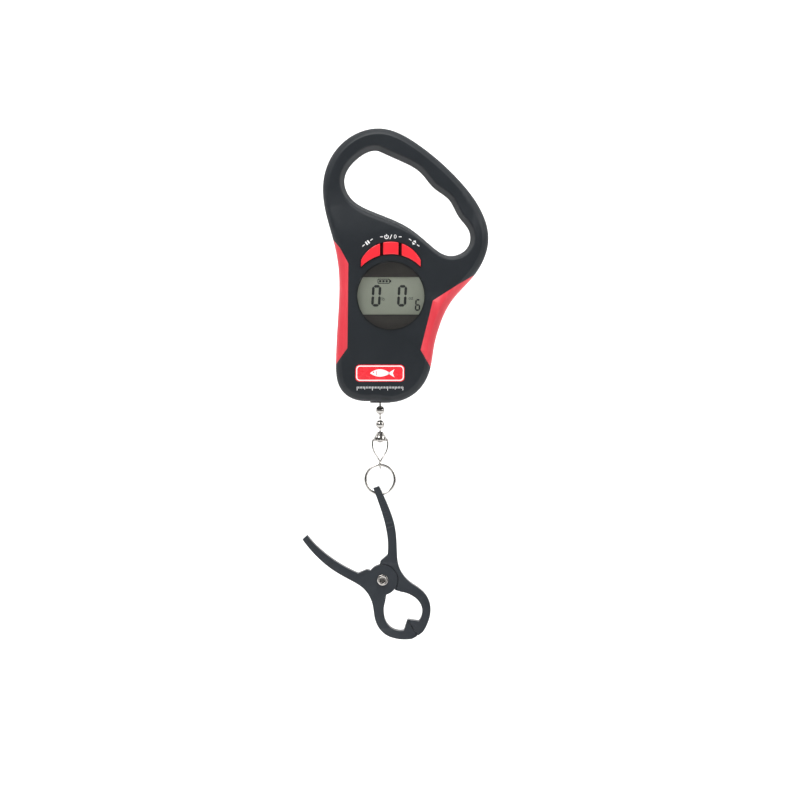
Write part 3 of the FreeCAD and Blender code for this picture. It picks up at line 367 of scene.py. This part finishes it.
steelLook = {"bright": rgb(0.62, 0.62, 0.63), "dull": rgb(0.42, 0.42, 0.43), "roughness": 0.30}
aluminiumLook = {"bright": rgb(0.80, 0.80, 0.82), "dull": rgb(0.66, 0.66, 0.68), "roughness": 0.34}
springLook = {"bright": rgb(0.55, 0.55, 0.55), "dull": rgb(0.36, 0.35, 0.34), "roughness": 0.28}
finishes = {
    "case": makeCase(),
    "grip": makeGrip(),
    "clamp": makeClampPlastic(),
    "button": makeButtonPlastic(),
    "lens": makeLens(),
    "lcd": makePanel(),
    "board": makeBoard(),
    "battery": makeSleeve(),
    "nickel": makeMetal("brightNickel", nickelLook, 1500.0),
    "contact": makeMetal("contactNickel", nickelLook, 900.0),
    "screw_steel": makeMetal("screwSteel", steelLook, 1600.0, (1.0, 0.1, 1.0)),
    "load_cell": makeMetal("milledAluminium", aluminiumLook, 1400.0, (0.08, 1.0, 1.0)),
    "spring_wire": makeMetal("springWire", springLook, 1800.0),
    "mask": makeFilm("printedMask", rgb(0.050, 0.046, 0.040), rgb(0.064, 0.059, 0.051), 0.30),
    "foam": makeFilm("darkFoam", rgb(0.018, 0.018, 0.018), rgb(0.035, 0.035, 0.035), 0.85),
    "white_plastic": makeFilm("palePlastic", rgb(0.70, 0.70, 0.68), rgb(0.80, 0.80, 0.78), 0.40),
    "silicone_dark": makeFilm("darkSilicone", rgb(0.030, 0.030, 0.034), rgb(0.050, 0.050, 0.055), 0.60),
    "chip": makeFilm("chipBody", rgb(0.020, 0.020, 0.020), rgb(0.036, 0.036, 0.036), 0.45),
    "ceramic_parts": makeFilm("smallParts", rgb(0.42, 0.33, 0.22), rgb(0.58, 0.48, 0.36), 0.35),
    "keypad": makeFilm("keypadSilicone", rgb(0.060, 0.006, 0.008), rgb(0.100, 0.010, 0.014), 0.55),
    "badge": makeFilm("badgeEnamel", rgb(0.62, 0.020, 0.030), rgb(0.72, 0.030, 0.042), 0.22),
    "gauge_film": makeFilm("gaugeFilm", rgb(0.55, 0.36, 0.10), rgb(0.72, 0.50, 0.18), 0.30),
    "wire": makeFilm("wireSleeve", rgb(0.45, 0.04, 0.03), rgb(0.60, 0.07, 0.05), 0.42),
    "collar": makeFilm("collarGloss", rgb(0.008, 0.008, 0.009), rgb(0.014, 0.014, 0.016), 0.16),
}
inkPale = makeFilm("paleInk", rgb(0.66, 0.66, 0.66), rgb(0.78, 0.78, 0.78), 0.45)
inkDark = makeFilm("darkInk", rgb(0.020, 0.024, 0.022), rgb(0.034, 0.040, 0.036), 0.40)
for name, thing in nodes.items():
    for holder in thing.material_slots:
        holder.material = finishes[slotOf[name]]
print("finishes ready")


# ways of making pieces

def settle(mesh, name, body, stands=()):
    thing = bpy.data.objects.new(name, mesh)
    bpy.context.scene.collection.objects.link(thing)
    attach(thing, body)
    if stands:
        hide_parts(*stands)
    return thing


def mergedMesh(name, node, flatten):
    work = bmesh.new()
    work.from_mesh(nodes[node].data)
    bmesh.ops.remove_doubles(work, verts=work.verts, dist=0.002 * mm)
    if flatten:
        bmesh.ops.dissolve_limit(work, angle_limit=math.radians(flatten), verts=work.verts, edges=work.edges)
    mesh = bpy.data.meshes.new(name)
    work.to_mesh(mesh)
    work.free()
    mesh.materials.clear()
    mesh.materials.append(finishes[slotOf[node]])
    mesh.shade_smooth()
    return mesh


def evened(mesh, name):                        # large flat faces keep their own shading
    thing = bpy.data.objects.new(name, mesh)
    bpy.context.scene.collection.objects.link(thing)
    even = thing.modifiers.new("even", "WEIGHTED_NORMAL")
    even.keep_sharp = True
    even.weight = 90
    done = bpy.data.meshes.new_from_object(thing.evaluated_get(bpy.context.evaluated_depsgraph_get()))
    done.name = name
    bpy.data.objects.remove(thing)
    return done


def smoothCopy(name, node, sharp=38):
    mesh = mergedMesh(name, node, 0)
    mesh.set_sharp_from_angle(angle=math.radians(sharp))
    return settle(evened(mesh, name), name, bodyOf[node], [node])


def bevelCopy(name, node, width, steps=3, sharp=30, flatten=0.6):
    mesh = mergedMesh(name, node, flatten)
    thing = settle(mesh, name, bodyOf[node], [node])
    edge = thing.modifiers.new("edge", "BEVEL")
    edge.width = width * mm
    edge.segments = steps
    edge.limit_method = "ANGLE"
    edge.angle_limit = math.radians(sharp)
    edge.harden_normals = True
    edge.use_clamp_overlap = True
    return thing


class PathTree(NodeMaker):                     # a Geometry Nodes tree with named sizes
    mathKind = "ShaderNodeMath"

    def __init__(self, name, sizes):
        self.tree = bpy.data.node_groups.new(name, "GeometryNodeTree")
        face = self.tree.interface
        face.new_socket("Geometry", in_out="INPUT", socket_type="NodeSocketGeometry")
        for label, kind in sizes.items():
            face.new_socket(label, in_out="INPUT", socket_type=kind)
        face.new_socket("Geometry", in_out="OUTPUT", socket_type="NodeSocketGeometry")
        self.source = self.tree.nodes.new("NodeGroupInput")

    def size(self, label):
        return Link(self, self.source.outputs[label])

    def end(self, geometry):
        real = self.node("GeometryNodeRealizeInstances", inputs={0: geometry})
        soft = self.node("GeometryNodeSetShadeSmooth", inputs={0: real})
        done = self.node("GeometryNodeSetMaterial", inputs={0: soft, "Material": self.size("Finish")})
        self.node("NodeGroupOutput", inputs={0: done})


def makeTubeTree():
    tube = PathTree("wireAlongPath", {"Wire radius": "NodeSocketFloat", "Sides": "NodeSocketInt",
                                      "Finish": "NodeSocketMaterial"})
    line = tube.node("GeometryNodeMeshToCurve", inputs={0: tube.size("Geometry")})
    ring = tube.node("GeometryNodeCurvePrimitiveCircle", inputs={"Resolution": tube.size("Sides"),
                                                                 "Radius": tube.size("Wire radius")})
    tube.end(tube.node("GeometryNodeCurveToMesh",
                       inputs={"Curve": line, "Profile Curve": ring, "Fill Caps": True}))
    return tube.tree


def makeRibTree(name, across):                 # ribs along Y, or across the path in its own plane
    rib = PathTree(name, {"Rib radius": "NodeSocketFloat", "Rib length": "NodeSocketFloat",
                          "Count": "NodeSocketInt", "Finish": "NodeSocketMaterial"})
    line = rib.node("GeometryNodeMeshToCurve", inputs={0: rib.size("Geometry")})
    spots = rib.node("GeometryNodeCurveToPoints", {"mode": "COUNT"}, {0: line, "Count": rib.size("Count")})
    bar = rib.node("GeometryNodeMeshCylinder", inputs={"Vertices": 12, "Radius": rib.size("Rib radius"),
                                                       "Depth": rib.size("Rib length")})
    way = (0.0, 1.0, 0.0)
    if across:
        along = Link(rib, spots.socket.node.outputs["Tangent"])
        way = rib.node("ShaderNodeVectorMath", {"operation": "CROSS_PRODUCT"}, {0: along, 1: way})
    turn = rib.node("FunctionNodeAlignRotationToVector", {"axis": "Z"}, {"Vector": way})
    rib.end(rib.node("GeometryNodeInstanceOnPoints",
                     inputs={"Points": spots, "Instance": bar, "Rotation": turn}))
    return rib.tree


def makeSpotTree():
    spot = PathTree("pieceOnPoints", {"Piece": "NodeSocketObject", "Finish": "NodeSocketMaterial"})
    piece = spot.node("GeometryNodeObjectInfo", inputs={"Object": spot.size("Piece")}, output="Geometry")
    spot.end(spot.node("GeometryNodeInstanceOnPoints",
                       inputs={"Points": spot.size("Geometry"), "Instance": piece}))
    return spot.tree


tubeTree = makeTubeTree()
gripRibTree = makeRibTree("ribsAlongEdge", False)
faceRibTree = makeRibTree("ribsAcrossFace", True)
spotTree = makeSpotTree()


def grown(name, tree, points, sizes, closed=False, loose=False):
    mesh = bpy.data.meshes.new(name + "Line")
    count = len(points)
    edges = [] if loose else [(i, i + 1) for i in range(count - 1)] + ([(count - 1, 0)] if closed else [])
    mesh.from_pydata([tuple(p) for p in points], edges, [])
    carrier = bpy.data.objects.new(name + "Line", mesh)
    bpy.context.scene.collection.objects.link(carrier)
    maker = carrier.modifiers.new("maker", "NODES")
    maker.node_group = tree
    for item in tree.interface.items_tree:
        if item.in_out == "INPUT" and item.name in sizes:
            maker[item.identifier] = sizes[item.name]
    made = bpy.data.meshes.new_from_object(carrier.evaluated_get(bpy.context.evaluated_depsgraph_get()))
    carrier.modifiers.remove(maker)
    bpy.data.objects.remove(carrier)
    made.name = name
    return made


def joined(meshes, name, finish=None):
    work = bmesh.new()
    for mesh in meshes:
        work.from_mesh(mesh)
    mesh = bpy.data.meshes.new(name)
    work.to_mesh(mesh)
    work.free()
    if finish:
        mesh.materials.clear()
        mesh.materials.append(finish)
    return mesh


def rounded(points, radius, steps=6):          # a path whose corners are rounded off
    path = [Vector(points[0])]
    for before, corner, after in zip(points, points[1:], points[2:]):
        before, corner, after = Vector(before), Vector(corner), Vector(after)
        back = (before - corner).normalized() * min(radius, (before - corner).length * 0.45)
        ahead = (after - corner).normalized() * min(radius, (after - corner).length * 0.45)
        for step in range(steps + 1):
            t = step / steps
            path.append(corner + back * (1 - t) ** 2 + ahead * t ** 2)
    path.append(Vector(points[-1]))
    return path


def lathe(name, profile, centre, finish, steps=48):
    work = bmesh.new()
    rings = []
    for turn in range(steps):
        angle = 2 * math.pi * turn / steps
        across, deep = math.cos(angle), math.sin(angle)
        rings.append([work.verts.new(centre + Vector((r * across, r * deep, z))) for r, z in profile])
    for one, two in zip(rings, rings[1:] + rings[:1]):
        for i in range(len(profile)):
            j = (i + 1) % len(profile)
            work.faces.new((one[i], two[i], two[j], one[j]))
    bmesh.ops.recalc_face_normals(work, faces=work.faces)
    mesh = bpy.data.meshes.new(name)
    work.to_mesh(mesh)
    work.free()
    mesh.materials.append(finish)
    mesh.shade_smooth()
    return mesh


def flatMesh(loops, thick, words=()):
    meshes = []
    shapes = []
    if loops:
        curve = bpy.data.curves.new("flat", "CURVE")
        curve.dimensions = "2D"
        curve.fill_mode = "BOTH"
        for loop in loops:
            spline = curve.splines.new("POLY")
            spline.points.add(len(loop) - 1)
            for point, (x, z) in zip(spline.points, loop):
                point.co = (x * mm, z * mm, 0, 1)
            spline.use_cyclic_u = True
        shapes.append((curve, (0, 0)))
    for text, size, x, z in words:
        letters = bpy.data.curves.new("word", "FONT")
        letters.body = text
        letters.size = size * mm
        letters.align_x = "CENTER"
        letters.align_y = "CENTER"
        letters.resolution_u = 4
        shapes.append((letters, (x, z)))
    for curve, (x, z) in shapes:
        curve.extrude = thick * mm / 2
        thing = bpy.data.objects.new("flat", curve)
        bpy.context.scene.collection.objects.link(thing)
        mesh = bpy.data.meshes.new_from_object(thing.evaluated_get(bpy.context.evaluated_depsgraph_get()))
        bpy.data.objects.remove(thing)
        mesh.transform(Matrix.Translation((x * mm, 0, z * mm)) @ Matrix.Rotation(math.radians(90), 4, "X"))
        meshes.append(mesh)
    return meshes


def flatMarks(name, loops, front, thick, finish, body, words=()):
    work = bmesh.new()
    for mesh in flatMesh(loops, thick, words):
        work.from_mesh(mesh)
    bmesh.ops.remove_doubles(work, verts=work.verts, dist=0.0005 * mm)
    bmesh.ops.recalc_face_normals(work, faces=work.faces)
    bmesh.ops.translate(work, verts=work.verts, vec=(0, (front + thick / 2) * mm, 0))
    mesh = bpy.data.meshes.new(name)
    work.to_mesh(mesh)
    work.free()
    mesh.materials.clear()
    mesh.materials.append(finish)
    return settle(mesh, name, body)


def arc(x, z, radius, start, stop, steps=12):
    turns = [math.radians(start + (stop - start) * i / steps) for i in range(steps + 1)]
    return [(x + radius * math.cos(t), z + radius * math.sin(t)) for t in turns]


def bar(x0, z0, x1, z1, thick):                # a straight stroke with pointed ends
    along = Vector((x1 - x0, z1 - z0)).normalized() * thick / 2
    out = Vector((-along.y, along.x))
    first, last = Vector((x0, z0)), Vector((x1, z1))
    return [tuple(p) for p in (first, first + along + out, last - along + out, last,
                               last - along - out, first + along - out)]


def panel(x, z, wide, tall, corner):
    loop = []
    for sx, sz, start in ((1, 1, 0), (-1, 1, 90), (-1, -1, 180), (1, -1, 270)):
        loop += arc(x + sx * (wide / 2 - corner), z + sz * (tall / 2 - corner), corner, start, start + 90, 6)
    return loop


# the case

for name in ("front_shell", "rear_shell"):
    smoothCopy(name + "_skin", name, 40)
for name in ("grip_left", "grip_right"):
    smoothCopy(name + "_skin", name, 40)
bevelCopy("battery_door_skin", "battery_door", 0.25, 2)
bevelCopy("badge_plate_skin", "badge_plate", 0.22, 3)
bevelCopy("bottom_collar_skin", "bottom_collar", 0.3, 3, 40, 0.05)
for side in ("left", "centre", "right"):
    bevelCopy("button_%s_cap" % side, "button_" + side, 0.38, 4, 35, 0.3)
print("case ready")


# screws

screwLook = {"head": 2.15, "rise": 1.25, "cross": 1.35, "blade": 0.42, "deep": 0.8}


def screwHead():
    head, rise, cross, blade = (screwLook[k] for k in ("head", "rise", "cross", "blade"))
    outline = arc(0, 0, head, 0, 352, 44)
    recess = []
    arm = [(blade, blade), (blade, cross), (-blade, cross)]
    for turn in range(4):                      # the cross, one arm at a time
        c, d = round(math.cos(turn * math.pi / 2)), round(math.sin(turn * math.pi / 2))
        recess += [(x * c - z * d, x * d + z * c) for x, z in arm]
    upper = flatMesh([outline, recess], screwLook["deep"])[0]
    lower = flatMesh([outline], rise - screwLook["deep"])[0]
    upper.transform(Matrix.Translation((0, -screwLook["deep"] / 2 * mm, 0)))
    lower.transform(Matrix.Translation((0, -(screwLook["deep"] + rise) / 2 * mm, 0)))
    return joined([upper, lower], "screwHead")


def makeCaseScrews():
    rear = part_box("case_screws")[1].y
    heads = []
    for vert in nodes["case_screws"].data.vertices:
        if vert.co.y > rear - 0.01 * mm:
            near = [h for h in heads if (h[0] - vert.co).length < 6 * mm]
            if near:
                near[0][1].append(vert.co.copy())
            else:
                heads.append((vert.co.copy(), [vert.co.copy()]))
    centres = []
    for first, points in heads:
        box = [(min(p[i] for p in points) + max(p[i] for p in points)) / 2 for i in range(3)]
        centres.append((box[0], rear, box[2]))
    pattern = bpy.data.objects.new("screwPattern", screwHead())
    bpy.context.scene.collection.objects.link(pattern)
    sizes = {"Piece": pattern, "Finish": finishes["screw_steel"]}
    made = grown("caseScrewHeads", spotTree, centres, sizes, loose=True)
    bpy.data.objects.remove(pattern)
    made.set_sharp_from_angle(angle=math.radians(30))
    settle(made, "case_screw_heads", "case")


makeCaseScrews()
print("screws ready")


# display

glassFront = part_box("lcd_glass")[0].y / mm
windowMid = middle("display_lens") / mm
digitLook = {"wide": 3.5, "tall": 10.0, "stroke": 1.35, "slant": 0.03}
litFor = {"0": "abcdef", "6": "acdefg"}


def digit(figure, x, z, wide, tall, stroke):
    lean = digitLook["slant"]

    def at(u, v):
        return (x + u * wide / 2 + lean * v * tall, z + v * tall / 2)

    ends = {"a": ((-1, 1), (1, 1)), "b": ((1, 1), (1, 0)), "c": ((1, 0), (1, -1)), "d": ((-1, -1), (1, -1)),
            "e": ((-1, 0), (-1, -1)), "f": ((-1, 1), (-1, 0)), "g": ((-1, 0), (1, 0))}
    loops = []
    for name in litFor[figure]:
        (x0, z0), (x1, z1) = at(*ends[name][0]), at(*ends[name][1])
        step = Vector((x1 - x0, z1 - z0)).normalized() * 0.09 * stroke
        loops.append(bar(x0 + step.x, z0 + step.y, x1 - step.x, z1 - step.y, stroke))
    return loops


def makeDisplayMarks():
    x, z = windowMid.x, windowMid.z
    loops = []
    for offset in (-7.7, 5.9):
        loops += digit("0", x + offset, z, digitLook["wide"], digitLook["tall"], digitLook["stroke"])
    loops += digit("6", x + 14.1, z - 4.8, 2.0, 5.4, 0.8)
    loops += [panel(x - 3.8, z + 7.7, 6.4, 2.6, 0.5), panel(x - 3.8, z + 7.7, 5.6, 1.8, 0.3)]
    loops += [panel(x - 0.2, z + 7.7, 0.7, 1.3, 0.2)]
    loops += [panel(x - 5.6 + i * 1.7, z + 7.7, 1.2, 1.1, 0.15) for i in range(3)]
    words = [("lb", 2.6, x - 4.1, z - 1.7), ("oz", 2.6, x + 10.5, z - 1.2)]
    flatMarks("display_figures", loops, glassFront - 0.04, 0.03, inkDark, "case", words)


makeDisplayMarks()
print("display ready")


# printed marks and badge

markLook = {"print": 0.04, "lean": 36.0, "lift": 2.6, "size": 3.0, "ring": 1.15, "ringInner": 0.78,
            "stroke": 0.4, "sideOut": 1.6, "sideUp": 6.6}
rulerLook = {"ticks": 31, "pitch": 0.8, "below": 7.0, "stroke": 0.28,
             "long": 2.0, "middle": 1.5, "short": 1.0}
badgeLook = {"wide": 25.0, "tall": 8.0, "corner": 2.0, "edge": 0.55,
             "fishHalf": 5.2, "back": 2.1, "belly": 1.8}
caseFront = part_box("front_shell")[0].y / mm
badgeMid = middle("badge_plate") / mm
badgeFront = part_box("badge_plate")[0].y / mm


def leaned(loops, x, z, degrees):              # loops drawn about the origin, turned and moved
    turn = Matrix.Rotation(math.radians(degrees), 2)
    return [[tuple(turn @ Vector(p) + Vector((x, z))) for p in loop] for loop in loops]


def dashes(away):
    return [panel(side * away, 0, 1.5, 0.42, 0.1) for side in (-1, 1)]


def makeCaseMarks():                           # hold, power and step signs, and a plain ruler
    x = middle("button_centre").x / mm
    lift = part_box("button_centre")[1].z / mm + markLook["lift"]
    hold = [panel(side * 0.62, 0, 0.72, 2.0, 0.14) for side in (-1, 1)]
    step = [[(-1.0, 0.3), (1.0, 0.3), (0, 1.35)], [(-1.0, -0.3), (0, -1.35), (1.0, -0.3)]]
    loops = []
    for side, name, icon in ((-1, "button_left", hold), (1, "button_right", step)):
        spot = middle(name) / mm
        loops += leaned(icon + dashes(2.6), spot.x + side * markLook["sideOut"], spot.z + markLook["sideUp"],
                        -side * markLook["lean"])
    ringX, stroke = x - 2.3, markLook["stroke"]
    loops.append(arc(ringX, lift, markLook["ring"], 125, 415, 20)
                 + arc(ringX, lift, markLook["ringInner"], 415, 125, 20))
    loops.append(bar(ringX, lift, ringX, lift + 1.5, stroke))
    loops.append(bar(x - 0.5, lift - 1.2, x + 0.5, lift + 1.2, stroke))
    loops += leaned(dashes(4.9), x, lift, 0)
    words = [("0", markLook["size"], x + 2.3, lift)]
    ticks, pitch = rulerLook["ticks"], rulerLook["pitch"]
    for i in range(ticks):
        tall = rulerLook["long" if i % 10 == 0 else "middle" if i % 5 == 0 else "short"]
        tickX = badgeMid.x + (i - (ticks - 1) / 2) * pitch
        loops.append(panel(tickX, badgeMid.z - rulerLook["below"] - tall / 2, rulerLook["stroke"], tall, 0.05))
    flatMarks("case_marks", loops, caseFront - markLook["print"], markLook["print"], inkPale, "case",
              words)


def makeBadgeArt():                            # a rim and a plain fish
    wide, tall, corner, rim = (badgeLook[k] for k in ("wide", "tall", "corner", "edge"))
    half, x, z = badgeLook["fishHalf"], badgeMid.x, badgeMid.z
    loops = [panel(x, z, wide, tall, corner), panel(x, z, wide - 2 * rim, tall - 2 * rim, corner - 0.5)]
    shares = [i / 24 for i in range(25)]
    fish = [(x - half + 2 * half * t, z + badgeLook["back"] * math.sin(math.pi * t) ** 0.8) for t in shares]
    fish += [(x + half - 2 * half * t, z - badgeLook["belly"] * math.sin(math.pi * t) ** 0.8)
             for t in shares[1:-1]]
    tail = [(x + 4.2, z), (x + 7.6, z + 2.2), (x + 6.7, z), (x + 7.6, z - 2.2)]
    eye = arc(x - 3.4, z + 0.5, 0.38, 0, 350, 16)
    gill = arc(x - 3.6, z, 2.0, -38, 38, 8) + arc(x - 3.6, z, 1.72, 38, -38, 8)
    front = badgeFront - markLook["print"]
    for name, shapes in (("badge_art", loops + [fish, eye, gill]), ("badge_tail", [tail])):
        flatMarks(name, shapes, front, markLook["print"], inkPale, "case")


makeCaseMarks()
makeBadgeArt()
print("marks ready")


# ball chain

beadLook = {"radius": 2.36, "wall": 0.32, "hole": 0.82, "lip": 0.10}


def makeBead(name):
    outer, inner = beadLook["radius"], beadLook["radius"] - beadLook["wall"]
    start = math.degrees(math.acos(beadLook["hole"] / outer))
    profile = []
    for i in range(25):                        # outer skin from the lower hole to the upper one
        turn = math.radians(-start + 2 * start * i / 24)
        seam = 0.03 if i == 12 else 0.0
        profile.append(((outer - seam) * math.cos(turn), (outer - seam) * math.sin(turn)))
    rim = profile[-1]
    profile.append((beadLook["hole"] - 0.06, rim[1] - beadLook["lip"]))
    inside = math.degrees(math.acos(beadLook["hole"] / inner))
    for i in range(13):
        turn = math.radians(inside - 2 * inside * i / 12)
        profile.append((inner * math.cos(turn), inner * math.sin(turn)))
    profile.append((beadLook["hole"] - 0.06, -rim[1] + beadLook["lip"]))
    mesh = lathe(name, [(r * mm, z * mm) for r, z in profile], middle(name), finishes["nickel"], 40)
    settle(mesh, name + "_shell", bodyOf[name], [name])


for i in range(4):
    makeBead("chain_bead_%d" % i)
for i in range(1, 4):
    smoothCopy("chain_rod_%d_link" % i, "chain_rod_%d" % i, 60)
bevelCopy("chain_anchor_bell", "chain_anchor", 0.12, 2, 40, 0.05)
bevelCopy("chain_cup_bell", "chain_cup", 0.12, 2, 40, 0.05)
print("chain ready")


# bail and split ring

bailLook = {"wire": 0.44, "half": 4.0, "pin": 2.6, "loop": 2.2, "bend": 2.4, "straight": 5.4, "twist": 0.42}
ringLook = {"across": 0.70, "along": 0.53, "step": 0.55, "radius": 7.7, "start": 35.0, "turn": 715.0}


def makeBail():                                # a wire from pin to pin with a loop at its lower end
    low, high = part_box("wire_bail")
    wire, half, pin, loop, twist = (bailLook[k] for k in ("wire", "half", "pin", "loop", "twist"))
    top, bottom = high.z / mm - wire, low.z / mm + wire
    centre = bottom + loop
    left = rounded([(-pin, 0, top), (-half, 0, top), (-half, 0, top - bailLook["straight"]),
                    (-twist, 0, centre + loop - 0.2)], bailLook["bend"])[:-1]
    path = list(left)
    for i in range(37):
        turn = math.radians(10 + 340 * i / 36)
        path.append(Vector((twist * (i / 18 - 1), loop * math.sin(turn), centre + loop * math.cos(turn))))
    path += [Vector((-p.x, p.y, p.z)) for p in reversed(left)]
    mesh = grown("bailWire", tubeTree, [p * mm for p in path],
                 {"Wire radius": wire * mm, "Sides": 14, "Finish": finishes["nickel"]})
    settle(mesh, "wire_bail_bend", "bail", ["wire_bail"])


def makeRing():                                # two turns of flattened wire that step over near the split
    centre = middle("split_ring") / mm
    steps, sides = 180, 16
    work = bmesh.new()
    rows = []
    for i in range(steps + 1):
        share = i / steps
        turn = math.radians(ringLook["start"] + ringLook["turn"] * share)
        side = max(-1.0, min(1.0, (share - 0.5) * 14))
        side = side * (1.5 - 0.5 * side * side)
        row = []
        for j in range(sides):
            angle = 2 * math.pi * j / sides
            radius = ringLook["radius"] + ringLook["across"] * math.cos(angle)
            place = Vector((centre.x + radius * math.cos(turn),
                            centre.y + side * ringLook["step"] + ringLook["along"] * math.sin(angle),
                            centre.z + radius * math.sin(turn)))
            row.append(work.verts.new(place * mm))
        rows.append(row)
    for one, two in zip(rows, rows[1:]):
        for j in range(sides):
            work.faces.new((one[j], one[(j + 1) % sides], two[(j + 1) % sides], two[j]))
    work.faces.new(rows[0])
    work.faces.new(list(reversed(rows[-1])))
    bmesh.ops.recalc_face_normals(work, faces=work.faces)
    mesh = bpy.data.meshes.new("ringWire")
    work.to_mesh(mesh)
    work.free()
    mesh.materials.append(finishes["nickel"])
    mesh.shade_smooth()
    mesh.set_sharp_from_angle(angle=math.radians(50))
    settle(mesh, "split_ring_wire", "ring", ["split_ring"])


makeBail()
makeRing()
print("ring ready")


# clamp

armLook = {"tilt": 58.0, "edge": 0.7, "ribs": 12, "ribRadius": 0.42, "ribLength": 8.6}
faceLook = {"fineRibs": 15, "fineRadius": 0.24, "wideRadius": 0.42, "length": 2.5, "sunk": 0.10}
coilLook = {"wire": 0.44, "coil": 3.3, "half": 1.65, "reach": 7.8, "rest": 150.0, "steps": 110}
armEdge = [(-41.5, 24.45), (-37.0, 23.9), (-33.0, 23.3), (-28.5, 22.4), (-24.5, 21.5)]
armMiddle = [(-41.8, 22.75), (-37.0, 21.95), (-33.0, 21.2), (-29.0, 20.25), (-26.0, 19.45)]
wideRibs = [(-23.6, 18.75), (-21.4, 18.0)]
pivot = middle("clamp_rivet") / mm


def clampPoint(x, y, z):                       # from the clamp's own axes to the frame, in metres
    tilt = math.radians(armLook["tilt"])
    return Vector((pivot.x + x * math.cos(tilt) + z * math.sin(tilt), pivot.y + y,
                   pivot.z - x * math.sin(tilt) + z * math.cos(tilt))) * mm


def makeClamp():
    for name in ("clamp_half_rear", "clamp_half_front"):
        bevelCopy(name + "_arm", name, armLook["edge"], 4, 35, 0.5)
    bevelCopy("clamp_rivet_tube", "clamp_rivet", 0.28, 3, 40, 0.05)
    for side, name, body, start in ((1, "rear", "clamp", 0), (-1, "front", "clamp_lever", 2.5)):
        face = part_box("clamp_half_" + name)[0].y / mm - pivot.y + faceLook["sunk"]
        edge = [clampPoint(x + (start if x < -30 else 0), 0, side * (z - 0.28)) for x, z in armEdge]
        front = [clampPoint(x + (start if x < -30 else 0), face, side * z) for x, z in armMiddle]
        meshes = [grown("edgeRibs", gripRibTree, edge, {
            "Rib radius": armLook["ribRadius"] * mm, "Rib length": armLook["ribLength"] * mm,
            "Count": armLook["ribs"], "Finish": finishes["clamp"]})]
        meshes.append(grown("fineRibs", faceRibTree, front, {
            "Rib radius": faceLook["fineRadius"] * mm, "Rib length": faceLook["length"] * mm,
            "Count": faceLook["fineRibs"], "Finish": finishes["clamp"]}))
        wide = [clampPoint(x, face, side * z) for x, z in wideRibs]
        meshes.append(grown("wideRibs", faceRibTree, wide, {
            "Rib radius": faceLook["wideRadius"] * mm, "Rib length": (faceLook["length"] + 0.6) * mm,
            "Count": 2, "Finish": finishes["clamp"]}))
        mesh = joined(meshes, "armRibs", finishes["clamp"])
        mesh.shade_smooth()
        mesh.set_sharp_from_angle(angle=math.radians(40))
        settle(mesh, "clamp_ribs_" + name, body)


def makeClampSpring():                         # the coil round the rivet and its two straight legs
    coil, half, reach, rest = (coilLook[k] for k in ("coil", "half", "reach", "rest"))
    touch = rest + math.degrees(math.acos(coil / reach))
    turns = coilLook["steps"]

    def spot(distance, angle, y):
        turn = math.radians(angle)
        return clampPoint(distance * math.cos(turn), y, distance * math.sin(turn))

    path = [spot(reach, rest, half)]
    for i in range(turns + 1):
        path.append(spot(coil, touch + (1440 - 2 * touch) * i / turns, half - 2 * half * i / turns))
    last, tip = path[-1], spot(reach, 360 - rest, -half)
    path.append(last.lerp(tip, 0.22))
    sizes = {"Wire radius": coilLook["wire"] * mm, "Sides": 12, "Finish": finishes["spring_wire"]}
    settle(grown("springCoil", tubeTree, path, sizes), "clamp_spring_coil", "clamp",
           ["clamp_spring"])
    leg = [last.lerp(tip, share) for share in (0.45, 0.7, 1.0)]
    settle(grown("springLeg", tubeTree, leg, sizes), "clamp_spring_end", "clamp_lever",
           ["clamp_spring_leg"])


makeClamp()
makeClampSpring()
print("clamp ready")
